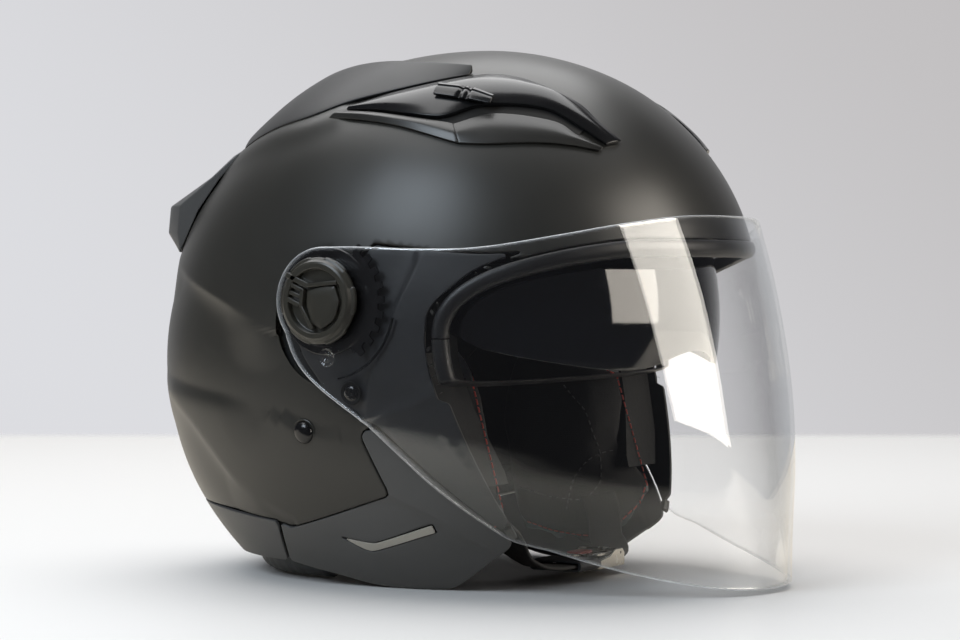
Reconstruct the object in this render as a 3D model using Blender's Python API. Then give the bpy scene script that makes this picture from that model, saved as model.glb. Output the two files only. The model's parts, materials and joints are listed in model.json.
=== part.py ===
"""Open-face motorcycle helmet with a long clear shield and a drop-down sun visor.

The helmet faces -Y and stands on the plane Z = 0.  Lengths in this file are millimetres;
they become metres where a mesh is made.  The wearer's right side is at -X.

Most pieces are layers of one egg-shaped skin.  A point of the skin is given by its side
view (y, z), and a layer by its distance outside (+) or inside (-) the skin.
"""

import math

import bmesh
import bpy
import numpy as np

MM = 0.001
RIGHT, LEFT = -1, 1
ACROSS = 200.0  # half-width of a cutting shape that reaches right across the helmet

# --- the skin of the shell ---------------------------------------------------------------
SHELL_Y, SHELL_Z = 8.0, 135.0
SHELL_HALF_WIDTH = 127.0
SIDE_POWER, RADIAL_POWER = 2.1, 2.3
# (angle in the middle plane from the front, rising over the crown; radius)
MERIDIAN = [
    (-60, 170), (-30, 160), (0, 157), (20, 156.5), (45, 150), (70, 141), (90, 135.6), (115, 136),
    (140, 143), (160, 153), (180, 162), (195, 168), (210, 173), (230, 175), (250, 175), (270, 172),
]
ROUND_STEPS = 32
SIDE_STEPS = 6

# --- thicknesses and gaps ----------------------------------------------------------------
GAP = 0.5
SHELL_WALL = 3.6
RECESS = 2.2
PANEL_WALL = 1.7
FOAM_INNER = -34.0
FOAM_OUTER = -SHELL_WALL - 0.6
LINING_INNER = -44.0
CHEEK_INNER = -60.0
CHEEK_FOOT, CHEEK_FOOT_TOP = -5.0, 41.0
CHEEK_CLEAR_X = 58.8
NECK_HALF_WIDTH, NECK_HALF_LENGTH, NECK_Y = 72.0, 104.0, -4.0
NECK_ROLL_HALF_WIDTH, NECK_ROLL_DEPTH, NECK_ROLL_START_Y, NECK_ROLL_Z = 68.0, 70.0, 38.0, 12.0
NECK_ROLL_THICK, NECK_ROLL_TALL, NECK_ROLL_POWER = 10.5, 12.0, 2.3
GASKET_INNER, GASKET_OUTER, GASKET_LIP, GASKET_FOOT = -5.2, 1.3, 8.5, 97.5
ACCENT_BED, ACCENT_INNER, ACCENT_OUTER = -1.1, -0.7, 0.2

# --- shield, pivots and sun visor ----------------------------------------------------------
PIVOT_Y, PIVOT_Z = 10.0, 142.0
SHIELD_WALL = 2.2
SHIELD_POWER = 2.2
EAR_RADIUS, EAR_HOLE = 26.0, 12.0
HUB_RADIUS = 11.4
BASE_RADIUS = 28.0
DIAL_RADIUS = 21.5
DIAL_TEETH = 16
VISOR_Y, VISOR_Z = 8.0, 133.0
VISOR_RADIUS, VISOR_HALF_WIDTH = 136.0, 112.0
VISOR_WALL = 2.0
VISOR_ARM_RADIUS, VISOR_HOLE, VISOR_PIN = 10.0, 3.4, 2.9
VISOR_POCKET = [(30, 117), (30, 152), (-58, 280), (-240, 280), (-240, 117)]
VISOR_POCKET_GAP = 2.4
DIAL_INNER_X, DIAL_OUTER_X, DIAL_PIVOT_X = -133.1, -138.0, -135.5
DIAL_DISH, DIAL_DISH_X = 15.5, -135.4
GRIP_HALF_WIDTH, GRIP_HALF_LENGTH, GRIP_OUTER_X, GRIP_INNER_X = 3.2, 17.5, -138.6, -134.5
# turned shapes: (radius, distance outwards along the axis)
PIVOT_BASE_PROFILE = [
    (0, 127.4), (BASE_RADIUS, 127.4), (BASE_RADIUS, 128.8), (HUB_RADIUS, 128.8), (HUB_RADIUS, 132.7), (0, 132.7),
]
VISOR_PIN_PROFILE = [(0, 108.0), (VISOR_PIN, 108.0), (VISOR_PIN, 112.6), (6.0, 112.6), (6.0, 114.2), (0, 114.2)]
RIVET_PROFILE = [
    (0, 3.2), (3.0, 2.9), (4.8, 1.9), (5.5, 0.7), (3.2, 0.5), (3.2, -6.9), (5.6, -6.9), (5.6, -8.1), (0, -8.1),
]
ANCHOR_PROFILE = [(3.7, -5.2), (9.5, -5.2), (9.5, -6.5), (3.7, -6.5)]
SCREW_PROFILE = [(0, 1.5), (2.6, 1.5), (3.9, 0.9), (3.9, 0.3), (1.6, 0.3), (1.6, -3.4), (0, -3.4)]
RIVET_HOLE, SCREW_HOLE, SCREW_CLEARANCE, HOLE_REACH = 3.7, 2.0, 2.2, 9.0
ANCHOR_POCKET_RADIUS, ANCHOR_POCKET_DEPTH = 12.0, 15.0

# --- side-view outlines (y, z) ---------------------------------------------------------------
FACE_OPENING = [
    (-240, 172), (-128, 172), (-112, 169.5), (-94, 165), (-78, 160), (-65, 154), (-54, 146),
    (-47, 136), (-45, 126), (-46, 110), (-50, 94), (-57, 70), (-64, 48), (-70, 32), (-71, 27),
]
LOWER_EDGE = [(-71, 27), (-66, 22), (-52, 12), (-38, 3), (-30, 0), (4, 0), (30, 5), (58, 10), (114, 10), (240, 10)]
FOAM_OPENING = [
    (-240, 178), (-126, 178), (-94, 171), (-76, 166), (-60, 158), (-49, 149), (-41, 137),
    (-39, 126), (-40, 110), (-44, 95), (-51, 70), (-56, 52),
]
FOAM_LOWER = [(-56, 50), (34, 50), (64, 28), (114, 28), (240, 30)]
CHEEK_TRIM = [
    (-10, 79.5), (-7.5, 79), (-6, 76), (-15.5, 50.5), (-15.5, 48), (-14, 46.5), (47, 28.5), (55, 30), (58, 10),
    (30, 5), (4, 0), (-30, 0), (-38, 3), (-52, 12), (-66, 22), (-68, 25), (-66, 29), (-17, 78.5),
]
REAR_TRIM = [(57, 31), (115, 35.5), (240, 40), (240, 10), (114, 10), (60, 10)]
SIDE_PLATE = [
    (-15, 169), (-39, 166.5), (-66, 164.5), (-84, 165), (-66.5, 157.5), (-56, 149.5), (-44.5, 138),
    (-42.3, 126), (-43.3, 110.5), (-47.3, 95), (-52.5, 93), (-59.5, 70), (-66, 48), (-69.5, 36), (-66, 31),
    (-16.5, 81), (-8, 85), (11, 98), (24, 111),
]
SHIELD_EDGE = [
    (19, 117), (10, 110), (5, 105), (9, 98), (-8, 86), (-16, 80), (-66, 29), (-90, 21), (-116, 13), (-140, 7),
    (-160, 3), (-176, 1.5), (-240, 1.5), (-240, 184), (-146, 184), (-129, 180), (-102, 173.2), (-70, 167.6),
    (-39, 167), (-10, 168),
]
VISOR_EDGE = [
    (-48, 158), (-60, 172), (-78, 184), (-100, 192), (-126, 196), (-240, 196), (-240, 122), (-131, 122),
    (-121, 110), (-112, 108), (-90, 112), (-60, 119), (-50, 124), (-44, 127),
]
CHEEK_PAD = [
    (-42, 122), (-60, 102), (-70, 76), (-74, 50), (-70, 28), (-55, 10), (-38, 0), (-6, 0), (22, 6), (30, 26),
    (36, 60), (30, 96), (16, 116), (-4, 126), (-26, 128),
]
CROWN_LINING = [
    (-240, 184), (-90, 180), (-50, 168), (-22, 152), (30, 130), (76, 84), (110, 66), (240, 66), (240, 320),
    (-240, 320),
]
CHEEK_ACCENT = [(17, 25), (6, 19.5), (1, 18.8), (-35, 29.5), (-34, 33), (-2, 23), (4, 23)]

# --- shield half-widths and depths by height ---------------------------------------------------
SHIELD_WIDTHS = [
    (0, 84), (29, 97), (41, 107), (54, 117), (66, 123), (80, 128.5), (95, 131.2), (110, 132.1), (190, 132.1),
]
SHIELD_DEPTHS = [(0, 173), (45, 171), (118, 163), (160, 153.5), (184, 146), (190, 144)]
SHIELD_LEVELS = [0, 29, 41, 54, 66, 80, 95, 110, 135, 160, 188]

# --- roof vents and rear pieces: rows of (y, z) on the skin, from the outer edge inwards -------
VENT_BASE = [
    [(31, 232), (28, 233.5), (25, 235)],
    [(11, 230.5), (6, 231.7), (1, 233)],
    [(-14, 226.5), (-24, 227), (-33, 228)],
    [(-47, 217.5), (-44, 222), (-41, 226.5)],
    [(-60, 217), (-59.5, 225), (-58, 231.5)],
    [(-80, 217.6), (-81, 223), (-82, 228)],
    [(-94, 216.3), (-94, 219), (-94, 221)],
    [(-104, 214), (-104.3, 214.7), (-104.6, 215.3)],
]
BASE_RISE = [0.3, 1.2, 1.5]
VENT_COVER = [
    [(22, 236), (21, 236.6), (20, 237.2), (19, 237.8)],
    [(2, 234.8), (3, 237), (3.5, 239.5), (4, 242)],
    [(-16, 232.2), (-16, 237), (-15.5, 242), (-15, 246.3)],
    [(-35, 230.3), (-36, 239), (-36, 246), (-36, 250.8)],
    [(-48, 235.3), (-48, 241), (-47, 246.5), (-47, 251.5)],
    [(-60, 236), (-60, 241), (-60, 245.5), (-60, 249)],
    [(-72, 235), (-73, 239), (-74, 242), (-75, 243)],
    [(-82, 232), (-84, 233.6), (-86, 235), (-88, 236)],
    [(-95, 224), (-97, 225.4), (-98, 226), (-99, 226.6)],
    [(-105, 217), (-106.5, 217.7), (-107.5, 218.2), (-108.5, 218.7)],
]
COVER_RISE = [1.7, 3.4, 3.0, 1.0]
REAR_FAIRING = [
    [(-33, 252.6), (-33, 253.8), (-32.5, 255)],
    [(-14, 248.4), (-12, 252.8), (-10, 256.6)],
    [(6, 244), (11, 251.5), (16, 258)],
    [(26, 239.6), (34, 249.5), (40, 257)],
    [(46, 233.5), (56, 245.5), (63, 253)],
    [(69, 229), (77, 239.5), (83, 246)],
    [(86, 224), (93, 233.5), (97, 238.5)],
    [(97, 219.5), (103, 226.5), (106, 230)],
]
FAIRING_RISE = [0.5, 2.4, 4.2]
VENT_SLIDER = [
    [(-27, 238.6), (-27, 241), (-27, 243.2)],
    [(-42, 236.2), (-42, 238.7), (-42, 241)],
    [(-55, 233.4), (-55, 235), (-55, 236.6)],
]
SLIDER_RISE = [0.6, 1.3, 0.6]
SLIDER_LIFT = 5.5
# the spoiler across the back: (x, y of its trailing edge)
SPOILER_STATIONS = [(-71, 141), (-64, 151), (-48, 162), (-24, 170), (0, 173)]
SPOILER_TOP, SPOILER_EDGE_TOP, SPOILER_EDGE, SPOILER_FOOT = 219.0, 191.0, 177.0, 166.0
SPOILER_OVER_SKIN = 1.4

# --- chin strap, anchors and sliders -----------------------------------------------------------
RIVET_Y, RIVET_Z = 27.0, 77.5
STRAP_WIDTH, SHORT_STRAP_WIDTH, STRAP_WALL = 24.0, 18.0, 1.8
STRAP_START_DEPTH = 10.9
STRAP_EXIT = (-55.0, -47.0, 24.0)
STRAP_SLOT_WIDTH, STRAP_SLOT_WALL = 27.0, 4.6
STRAP_LOOP = [(-46, -51.5, 14), (-38, -55, 9.6), (-29, -57.4, 7.8), (-23, -58, 7.6), (-16.5, -58, 7.6)]
SHORT_STRAP_LOOP = [(-47.5, -52, 14.5), (-44, -57, 9.5), (-38.9, -58, 7.6)]
SHORT_STRAP_LEAN = [(0, 1, 0), (0, 1, 0), (0.2, 0.95, 0), (0.1, 1, 0), (0, 1, 0)]
STRAP_LEAN = [(0, 1, 0), (0, 1, 0), (0.5, 0.8, 0), (0.5, 0.8, 0), (0.3, 0.9, 0), (0, 1, 0), (0, 1, 0)]
BUCKLE_Y, BUCKLE_LOW, BUCKLE_HIGH = -58.0, 3.6, 12.6
BUCKLE_NEAR, BUCKLE_FAR = 5.0, 35.0
BUCKLE_HALF_WIDTH, BUCKLE_WALL = 11.0, 1.3
LEVER_PIN_X, LEVER_PIN_Z = 30.5, 10.4
LEVER_PIN, LEVER_BORE, LEVER_EYE = 1.1, 1.5, 2.2
LEVER_LOW, LEVER_HIGH, LEVER_GAP, LEVER_SET_BACK = 9.8, 11.3, 0.8, 4.0
STRIP_LEVEL = 7.6
STRIP_NEAR, STRIP_FAR, STRIP_HALF_WIDTH, STRIP_HALF_WALL = -6.0, 22.0, 7.5, 1.1
SLEEVE_NEAR, SLEEVE_FAR, SLEEVE_HALF_WIDTH, SLEEVE_HALF_HEIGHT = -21.0, 1.0, 15.0, 3.0
SLEEVE_BORE_HALF_WIDTH, SLEEVE_BORE_HALF_HEIGHT = 13.2, 1.7
TAB_NEAR, TAB_FAR, TAB_HALF_WIDTH, TAB_LOW, TAB_HIGH = -1.0, 12.0, 4.0, 11.7, 12.9
VISOR_SLOT_Y, VISOR_SLOT_Z = (22.0, 53.0), (14.8, 22.0)
KNOB_PLACES, KNOB_HEIGHTS = (38, 44, 50), (17.0, 18.7, 20.4)
KNOB_FOOT, KNOB_RISE = -1.5, [2.6, 3.4, 2.6]
SCREW_Y, SCREW_Z = -2.5, 97.5


# ================================ geometry helpers ===============================================
def meridian_radius(angle):
    """Radius of the skin in the middle plane: a smooth closed curve through MERIDIAN."""
    count = len(MERIDIAN)
    wrapped = (angle + 60.0) % 360.0 - 60.0
    index = max(i for i in range(count) if MERIDIAN[i][0] <= wrapped)
    around = []
    for step in (-1, 0, 1, 2):
        turns, place = divmod(index + step, count)
        around.append((MERIDIAN[place][0] + 360.0 * turns, MERIDIAN[place][1]))
    (a0, r0), (a1, r1), (a2, r2), (a3, r3) = around
    slope1 = (r2 - r0) / (a2 - a0)
    slope2 = (r3 - r1) / (a3 - a1)
    span = a2 - a1
    t = (wrapped - a1) / span
    return (
        (2 * t**3 - 3 * t**2 + 1) * r1 + (t**3 - 2 * t**2 + t) * span * slope1
        + (3 * t**2 - 2 * t**3) * r2 + (t**3 - t**2) * span * slope2
    )


def skin_point(y, z, offset=0.0, side=RIGHT):
    """The point of the offset skin that belongs to the side-view point (y, z) of the skin itself."""
    angle = math.degrees(math.atan2(z - SHELL_Z, SHELL_Y - y))
    radius = meridian_radius(angle)
    t = min(math.hypot(y - SHELL_Y, z - SHELL_Z) / radius, 1.0)
    reach = (radius + offset) * t
    x = (SHELL_HALF_WIDTH + offset) * max(1.0 - t**RADIAL_POWER, 0.0) ** (1.0 / SIDE_POWER)
    along, up = math.cos(math.radians(angle)), math.sin(math.radians(angle))
    return (side * x, SHELL_Y - reach * along, SHELL_Z + reach * up)


def egg(offset, radius_at=meridian_radius, centre=(SHELL_Y, SHELL_Z), half_width=SHELL_HALF_WIDTH):
    """Vertices and faces of a closed skin, as rings around the X axis with a pole at each side."""
    verts = [(-half_width - offset, centre[0], centre[1])]
    for step in range(1, 2 * SIDE_STEPS):
        turn = math.pi * step / (2 * SIDE_STEPS)
        t = math.sin(turn) ** (2.0 / RADIAL_POWER)
        x = -math.copysign(abs(math.cos(turn)) ** (2.0 / SIDE_POWER), math.cos(turn)) * (half_width + offset)
        for k in range(ROUND_STEPS):
            angle = 360.0 * k / ROUND_STEPS
            reach = (radius_at(angle) + offset) * t
            y = centre[0] - reach * math.cos(math.radians(angle))
            verts.append((x, y, centre[1] + reach * math.sin(math.radians(angle))))
    verts.append((half_width + offset, centre[0], centre[1]))
    faces = []
    last = len(verts) - 1
    for k in range(ROUND_STEPS):
        after = (k + 1) % ROUND_STEPS
        faces.append((0, 1 + k, 1 + after))
        for ring in range(2 * SIDE_STEPS - 2):
            low = 1 + ring * ROUND_STEPS
            high = low + ROUND_STEPS
            faces.append((low + k, high + k, high + after, low + after))
        low = 1 + (2 * SIDE_STEPS - 2) * ROUND_STEPS
        faces.append((low + k, last, low + after))
    return verts, faces


def prism(outline, x0=-ACROSS, x1=ACROSS):
    """A side-view outline extruded along X."""
    count = len(outline)
    verts = [(x0, y, z) for y, z in outline] + [(x1, y, z) for y, z in outline]
    faces = [tuple(range(count)), tuple(range(2 * count - 1, count - 1, -1))]
    faces += [(i, i + count, (i + 1) % count + count, (i + 1) % count) for i in range(count)]
    return verts, faces


def disc(radius, x0, x1, y=PIVOT_Y, z=PIVOT_Z, steps=32, hole=0.0, teeth=0.0):
    """A round plate across X; teeth is the depth of notches around its rim."""
    verts, faces = [], []
    for x in (x0, x1):
        for k in range(steps):
            turn = 2 * math.pi * k / steps
            rim = radius - (teeth if k % 2 else 0.0)
            verts.append((x, y + rim * math.cos(turn), z + rim * math.sin(turn)))
    if not hole:
        faces += [tuple(range(steps)), tuple(range(2 * steps - 1, steps - 1, -1))]
        faces += [(k, k + steps, (k + 1) % steps + steps, (k + 1) % steps) for k in range(steps)]
        return verts, faces
    for x in (x0, x1):
        for k in range(steps):
            turn = 2 * math.pi * k / steps
            verts.append((x, y + hole * math.cos(turn), z + hole * math.sin(turn)))
    for k in range(steps):
        after = (k + 1) % steps
        rim0, rim1, bore0, bore1 = k, k + steps, k + 2 * steps, k + 3 * steps
        rim0a, rim1a, bore0a, bore1a = after, after + steps, after + 2 * steps, after + 3 * steps
        faces += [(rim0, rim1, rim1a, rim0a), (bore0, bore0a, bore1a, bore1)]
        faces += [(rim0, rim0a, bore0a, bore0), (rim1, bore1, bore1a, rim1a)]
    return verts, faces


def block(low, high):
    """A box between two corners."""
    xs, ys, zs = zip(low, high)
    verts = [(x, y, z) for x in xs for y in ys for z in zs]
    faces = [(0, 1, 3, 2), (4, 6, 7, 5), (0, 4, 5, 1), (2, 3, 7, 6), (0, 2, 6, 4), (1, 5, 7, 3)]
    return verts, faces


def refined(rows, along, across):
    """A grid of rows with straight steps added between its rows and between its columns."""
    grid = np.array(rows, float).reshape(len(rows), len(rows[0]), -1)
    for axis, parts in ((0, along), (1, across)):
        places = np.linspace(0, grid.shape[axis] - 1, (grid.shape[axis] - 1) * parts + 1)
        low = np.minimum(places.astype(int), grid.shape[axis] - 2)
        shape = (-1, 1, 1) if axis == 0 else (1, -1, 1)
        share = (places - low).reshape(shape)
        grid = np.take(grid, low, axis) * (1 - share) + np.take(grid, low + 1, axis) * share
    return grid


def slab(rows, bottom, rises, side=RIGHT, taper=0.0, along=1, across=1):
    """A raised panel on the skin: rows of (y, z), a flat underside, and a rise for each column."""
    rises = refined([[(r,) for r in rises]] * 2, 1, across)[0, :, 0]
    rows = refined(rows, along, across)
    columns = len(rows[0])
    verts = []
    for i, row in enumerate(rows):
        fade = 1.0 - taper * abs(2.0 * i / (len(rows) - 1) - 1.0) ** 2
        verts += [skin_point(y, z, bottom, side) for y, z in row]
        verts += [skin_point(y, z, bottom + 0.6 + rise * fade, side) for (y, z), rise in zip(row, rises)]
    faces = []
    width = 2 * columns
    for i in range(len(rows) - 1):
        a, b = i * width, (i + 1) * width
        for j in range(columns - 1):
            faces.append((a + j, b + j, b + j + 1, a + j + 1))
            faces.append((a + columns + j, a + columns + j + 1, b + columns + j + 1, b + columns + j))
        faces.append((a, a + columns, b + columns, b))
        faces.append((a + columns - 1, b + columns - 1, b + 2 * columns - 1, a + 2 * columns - 1))
    for start in (0, (len(rows) - 1) * width):
        for j in range(columns - 1):
            faces.append((start + j, start + j + 1, start + columns + j + 1, start + columns + j))
    return verts, faces


def ribbon(path, width, wall, across):
    """A flat strap along a path; across gives the direction of its width at each point."""
    points = [np.array(p, float) for p in path]
    verts, faces = [], []
    for i, point in enumerate(points):
        tangent = points[min(i + 1, len(points) - 1)] - points[max(i - 1, 0)]
        side = np.array(across[i], float)
        side -= tangent * side.dot(tangent) / tangent.dot(tangent)
        side /= np.linalg.norm(side)
        normal = np.cross(tangent, side)
        normal /= np.linalg.norm(normal)
        for a, b in ((-1, -1), (1, -1), (1, 1), (-1, 1)):
            verts.append(tuple(point + side * a * width / 2 + normal * b * wall / 2))
    for i in range(len(points) - 1):
        for k in range(4):
            after = (k + 1) % 4
            faces.append((4 * i + k, 4 * i + after, 4 * i + 4 + after, 4 * i + 4 + k))
    end = 4 * (len(points) - 1)
    faces += [(3, 2, 1, 0), (end, end + 1, end + 2, end + 3)]
    return verts, faces


def sweep(path, half_width, half_height, sides=10):
    """A soft roll: an ellipse carried along a level path of (x, y, z) points, closed at both ends."""
    points = [np.array(p, float) for p in path]
    verts, faces = [], []
    for i, point in enumerate(points):
        tangent = points[min(i + 1, len(points) - 1)] - points[max(i - 1, 0)]
        out = np.array((tangent[1], -tangent[0], 0.0))
        out /= np.linalg.norm(out)
        for k in range(sides):
            turn = 2 * math.pi * (k + 0.5) / sides
            up = max(-1.0, min(1.0, 1.06 * math.sin(turn)))
            verts.append(tuple(point + out * half_width * math.cos(turn) + np.array((0, 0, half_height * up))))
    for i in range(len(points) - 1):
        for k in range(sides):
            after = (k + 1) % sides
            faces.append((sides * i + k, sides * i + after, sides * (i + 1) + after, sides * (i + 1) + k))
    end = sides * (len(points) - 1)
    faces += [tuple(range(sides - 1, -1, -1)), tuple(range(end, end + sides))]
    return verts, faces


# ================================ meshes and Booleans ============================================
def closed_mesh(*shapes, inward=()):
    """One mesh from closed shapes in millimetres; the shapes numbered in inward bound a hollow."""
    mesh = bpy.data.meshes.new("shape")
    build = bmesh.new()
    for number, (verts, faces) in enumerate(shapes):
        made = [build.verts.new([c * MM for c in v]) for v in verts]
        new_faces = [build.faces.new([made[i] for i in face]) for face in faces]
        bmesh.ops.recalc_face_normals(build, faces=new_faces)
        if number in inward:
            bmesh.ops.reverse_faces(build, faces=new_faces)
    build.to_mesh(mesh)
    build.free()
    return mesh


def layer(inner, outer, **form):
    """The solid between two offsets of the skin."""
    return closed_mesh(egg(outer, **form), egg(inner, **form), inward=(1,))


def combine(base, operation, *tools):
    """Base after one Boolean with each tool; the meshes given are used up."""
    for tool in tools:
        host = bpy.data.objects.new("host", base)
        cutter = bpy.data.objects.new("cutter", tool)
        for obj in (host, cutter):
            bpy.context.collection.objects.link(obj)
        modifier = host.modifiers.new("combine", "BOOLEAN")
        modifier.operation = operation
        modifier.solver = "EXACT"
        modifier.object = cutter
        graph = bpy.context.evaluated_depsgraph_get()
        result = bpy.data.meshes.new_from_object(host.evaluated_get(graph))
        for obj in (host, cutter):
            bpy.data.objects.remove(obj)
        for mesh in (base, tool):
            bpy.data.meshes.remove(mesh)
        base = result
    return base


def mirrored(mesh):
    """The same mesh on the other side of the middle plane."""
    build = bmesh.new()
    build.from_mesh(mesh)
    for vert in build.verts:
        vert.co.x = -vert.co.x
    bmesh.ops.reverse_faces(build, faces=build.faces)
    result = bpy.data.meshes.new("mirrored")
    build.to_mesh(result)
    build.free()
    return result


def material(name, colour, roughness, metallic=0.0, alpha=1.0):
    made = bpy.data.materials.get(name) or bpy.data.materials.new(name)
    made.use_nodes = True
    shader = made.node_tree.nodes["Principled BSDF"]
    shader.inputs["Base Color"].default_value = (*colour, 1.0)
    shader.inputs["Roughness"].default_value = roughness
    shader.inputs["Metallic"].default_value = metallic
    shader.inputs["Alpha"].default_value = alpha
    return made


def place(name, mesh, look, pivot=(0.0, 0.0, 0.0), parent=None):
    """Put a mesh in the scene as one named piece; pivot (mm) becomes the object's origin."""
    build = bmesh.new()
    build.from_mesh(mesh)
    bmesh.ops.remove_doubles(build, verts=build.verts, dist=0.000002)
    for vert in build.verts:
        vert.co -= vert.co.__class__([c * MM for c in pivot])
    build.to_mesh(mesh)
    build.free()
    mesh.name = name
    mesh.materials.clear()
    mesh.materials.append(look)
    mesh.shade_smooth()
    mesh.set_sharp_from_angle(angle=math.radians(35))
    obj = bpy.data.objects.new(name, mesh)
    obj.location = [c * MM for c in pivot]
    obj.parent = parent
    bpy.context.collection.objects.link(obj)
    return obj


def place_pair(name, mesh, look, pivot=(0.0, 0.0, 0.0)):
    """Place a piece of the right side and its twin on the left."""
    twin = mirrored(mesh)
    place(name + "_right", mesh, look, pivot)
    place(name + "_left", twin, look, (-pivot[0], pivot[1], pivot[2]))


# ================================ looks =============================================================
def make_looks():
    return {
        "shell": material("satin_black_paint", (0.028, 0.027, 0.026), 0.42),
        "trim": material("black_trim", (0.035, 0.035, 0.036), 0.5),
        "plate": material("textured_plastic", (0.03, 0.031, 0.034), 0.68),
        "foam": material("foam", (0.02, 0.02, 0.021), 0.9),
        "lining": material("lining_fabric", (0.016, 0.016, 0.017), 0.95),
        "rubber": material("gasket_rubber", (0.018, 0.018, 0.019), 0.6),
        "clear": material("clear_shield", (0.95, 0.96, 0.97), 0.03, alpha=0.2),
        "smoke": material("smoked_visor", (0.05, 0.05, 0.055), 0.05, alpha=0.7),
        "gloss": material("gloss_plastic", (0.02, 0.02, 0.021), 0.2),
        "metal": material("steel", (0.55, 0.55, 0.56), 0.3, 1.0),
        "webbing": material("strap_webbing", (0.014, 0.014, 0.015), 0.85),
        "red": material("red_tab", (0.45, 0.03, 0.02), 0.6),
        "accent": material("pale_accent", (0.5, 0.48, 0.43), 0.5),
    }


# ================================ pieces ==============================================================
def shell_region(opening, lower):
    """Side-view outline of everything behind the face opening and above the lower edge."""
    return opening + lower[1:] + [(240, 330), (-240, 330)]


def skin_normal(y, z):
    """The outward direction of the skin on the right side."""
    step = 0.5
    along = np.subtract(skin_point(y + step, z), skin_point(y - step, z))
    up = np.subtract(skin_point(y, z + step), skin_point(y, z - step))
    normal = np.cross(along, up)
    normal /= np.linalg.norm(normal)
    return normal if normal[0] < 0 else -normal


def turned(profile, origin, axis, steps=20, ring=False):
    """A turned shape: profile points are (radius, height along the axis), from one end to the other."""
    axis = np.array(axis, float) / np.linalg.norm(axis)
    across = np.cross(axis, (0.0, 0.0, 1.0))
    across /= np.linalg.norm(across)
    other = np.cross(axis, across)
    verts, rows = [], []
    for radius, height in profile:
        centre = np.array(origin) + axis * height
        if radius == 0.0:
            rows.append([len(verts)])
            verts.append(tuple(centre))
            continue
        rows.append([len(verts) + k for k in range(steps)])
        for k in range(steps):
            turn = 2 * math.pi * k / steps
            verts.append(tuple(centre + radius * (across * math.cos(turn) + other * math.sin(turn))))
    faces = []
    pairs = list(zip(rows, rows[1:])) + ([(rows[-1], rows[0])] if ring else [])
    for low, high in pairs:
        for k in range(steps):
            after = (k + 1) % steps
            face = [low[k % len(low)], low[after % len(low)], high[after % len(high)], high[k % len(high)]]
            faces.append(tuple(dict.fromkeys(face)))
    return verts, faces


def column(half_width, half_length, centre_y, z0, z1, steps=32, power=2.4):
    """An upright column with a rounded plan."""
    verts = []
    for z in (z0, z1):
        for k in range(steps):
            c, s = math.cos(2 * math.pi * k / steps), math.sin(2 * math.pi * k / steps)
            x = half_width * math.copysign(abs(c) ** (2 / power), c)
            verts.append((x, centre_y + half_length * math.copysign(abs(s) ** (2 / power), s), z))
    faces = [tuple(range(steps)), tuple(range(2 * steps - 1, steps - 1, -1))]
    faces += [(k, k + steps, (k + 1) % steps + steps, (k + 1) % steps) for k in range(steps)]
    return verts, faces


def between(table, value):
    """Straight-line reading of a table of (place, value) pairs."""
    return float(np.interp(value, [p for p, _ in table], [v for _, v in table]))


def shield_layer(rear_y=44.0, steps=18):
    """The clear shield before it is trimmed: a bowed sheet with flat sides."""
    rows = []
    for inset in (0.0, SHIELD_WALL):
        for z in SHIELD_LEVELS:
            half, depth = between(SHIELD_WIDTHS, z) - inset, between(SHIELD_DEPTHS, z) - inset
            row = [(-half, rear_y, z)]
            for k in range(steps + 1):
                turn = math.pi * k / steps
                x = -half * math.copysign(abs(math.cos(turn)) ** (2 / SHIELD_POWER), math.cos(turn))
                row.append((x, -depth * math.sin(turn) ** (2 / SHIELD_POWER), z))
            row.append((half, rear_y, z))
            rows.append(row)
    width, levels = len(rows[0]), len(SHIELD_LEVELS)
    verts = [point for row in rows for point in row]
    faces = []
    for side in (0, 1):
        for i in range(levels - 1):
            for j in range(width - 1):
                low = (side * levels + i) * width + j
                faces.append((low, low + 1, low + width + 1, low + width))
    inner = levels * width
    for i in (0, levels - 1):
        for j in range(width - 1):
            low = i * width + j
            faces.append((low, low + 1, inner + low + 1, inner + low))
    for j in (0, width - 1):
        for i in range(levels - 1):
            low = i * width + j
            faces.append((low, low + width, inner + low + width, inner + low))
    return verts, faces


def rear_point(x, z, offset):
    """The point of the back of the offset skin at a given x and z."""
    t = (1.0 - (abs(x) / SHELL_HALF_WIDTH) ** SIDE_POWER) ** (1.0 / RADIAL_POWER)
    low, high = 92.0, 200.0
    for _ in range(40):
        middle = (low + high) / 2
        if meridian_radius(middle) * t * math.sin(math.radians(middle)) > z - SHELL_Z:
            low = middle
        else:
            high = middle
    reach = (meridian_radius(low) + offset) * t
    return (SHELL_Y - reach * math.cos(math.radians(low)), SHELL_Z + reach * math.sin(math.radians(low)))


def arc(y, z, radius, start, end, steps):
    """Side-view points on a circle, from one angle to another (0 points to +Y)."""
    turns = [math.radians(start + (end - start) * k / steps) for k in range(steps + 1)]
    return [(y + radius * math.cos(t), z + radius * math.sin(t)) for t in turns]


def make_shell(looks):
    shell = layer(-SHELL_WALL, 0.0)
    shell = combine(shell, "INTERSECT", closed_mesh(prism(shell_region(FACE_OPENING, LOWER_EDGE))))
    for outline in (CHEEK_TRIM, side_plate_outline(), REAR_TRIM):
        band = combine(layer(-RECESS, 6.0), "INTERSECT", closed_mesh(prism(grown(outline, GAP))))
        shell = combine(shell, "DIFFERENCE", band)
    rivet_hole = closed_mesh(rivet_shape(bore(RIVET_HOLE)))
    screw_hole = closed_mesh(screw_shape(bore(SCREW_HOLE)))
    left_holes = [mirrored(rivet_hole), mirrored(screw_hole)]
    shell = combine(shell, "DIFFERENCE", rivet_hole, screw_hole, *left_holes)
    place("outer_shell", shell, looks["shell"])


def side_plate_outline():
    return SIDE_PLATE + arc(PIVOT_Y, PIVOT_Z, BASE_RADIUS + 3.0, -55, 100, 9)


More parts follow.
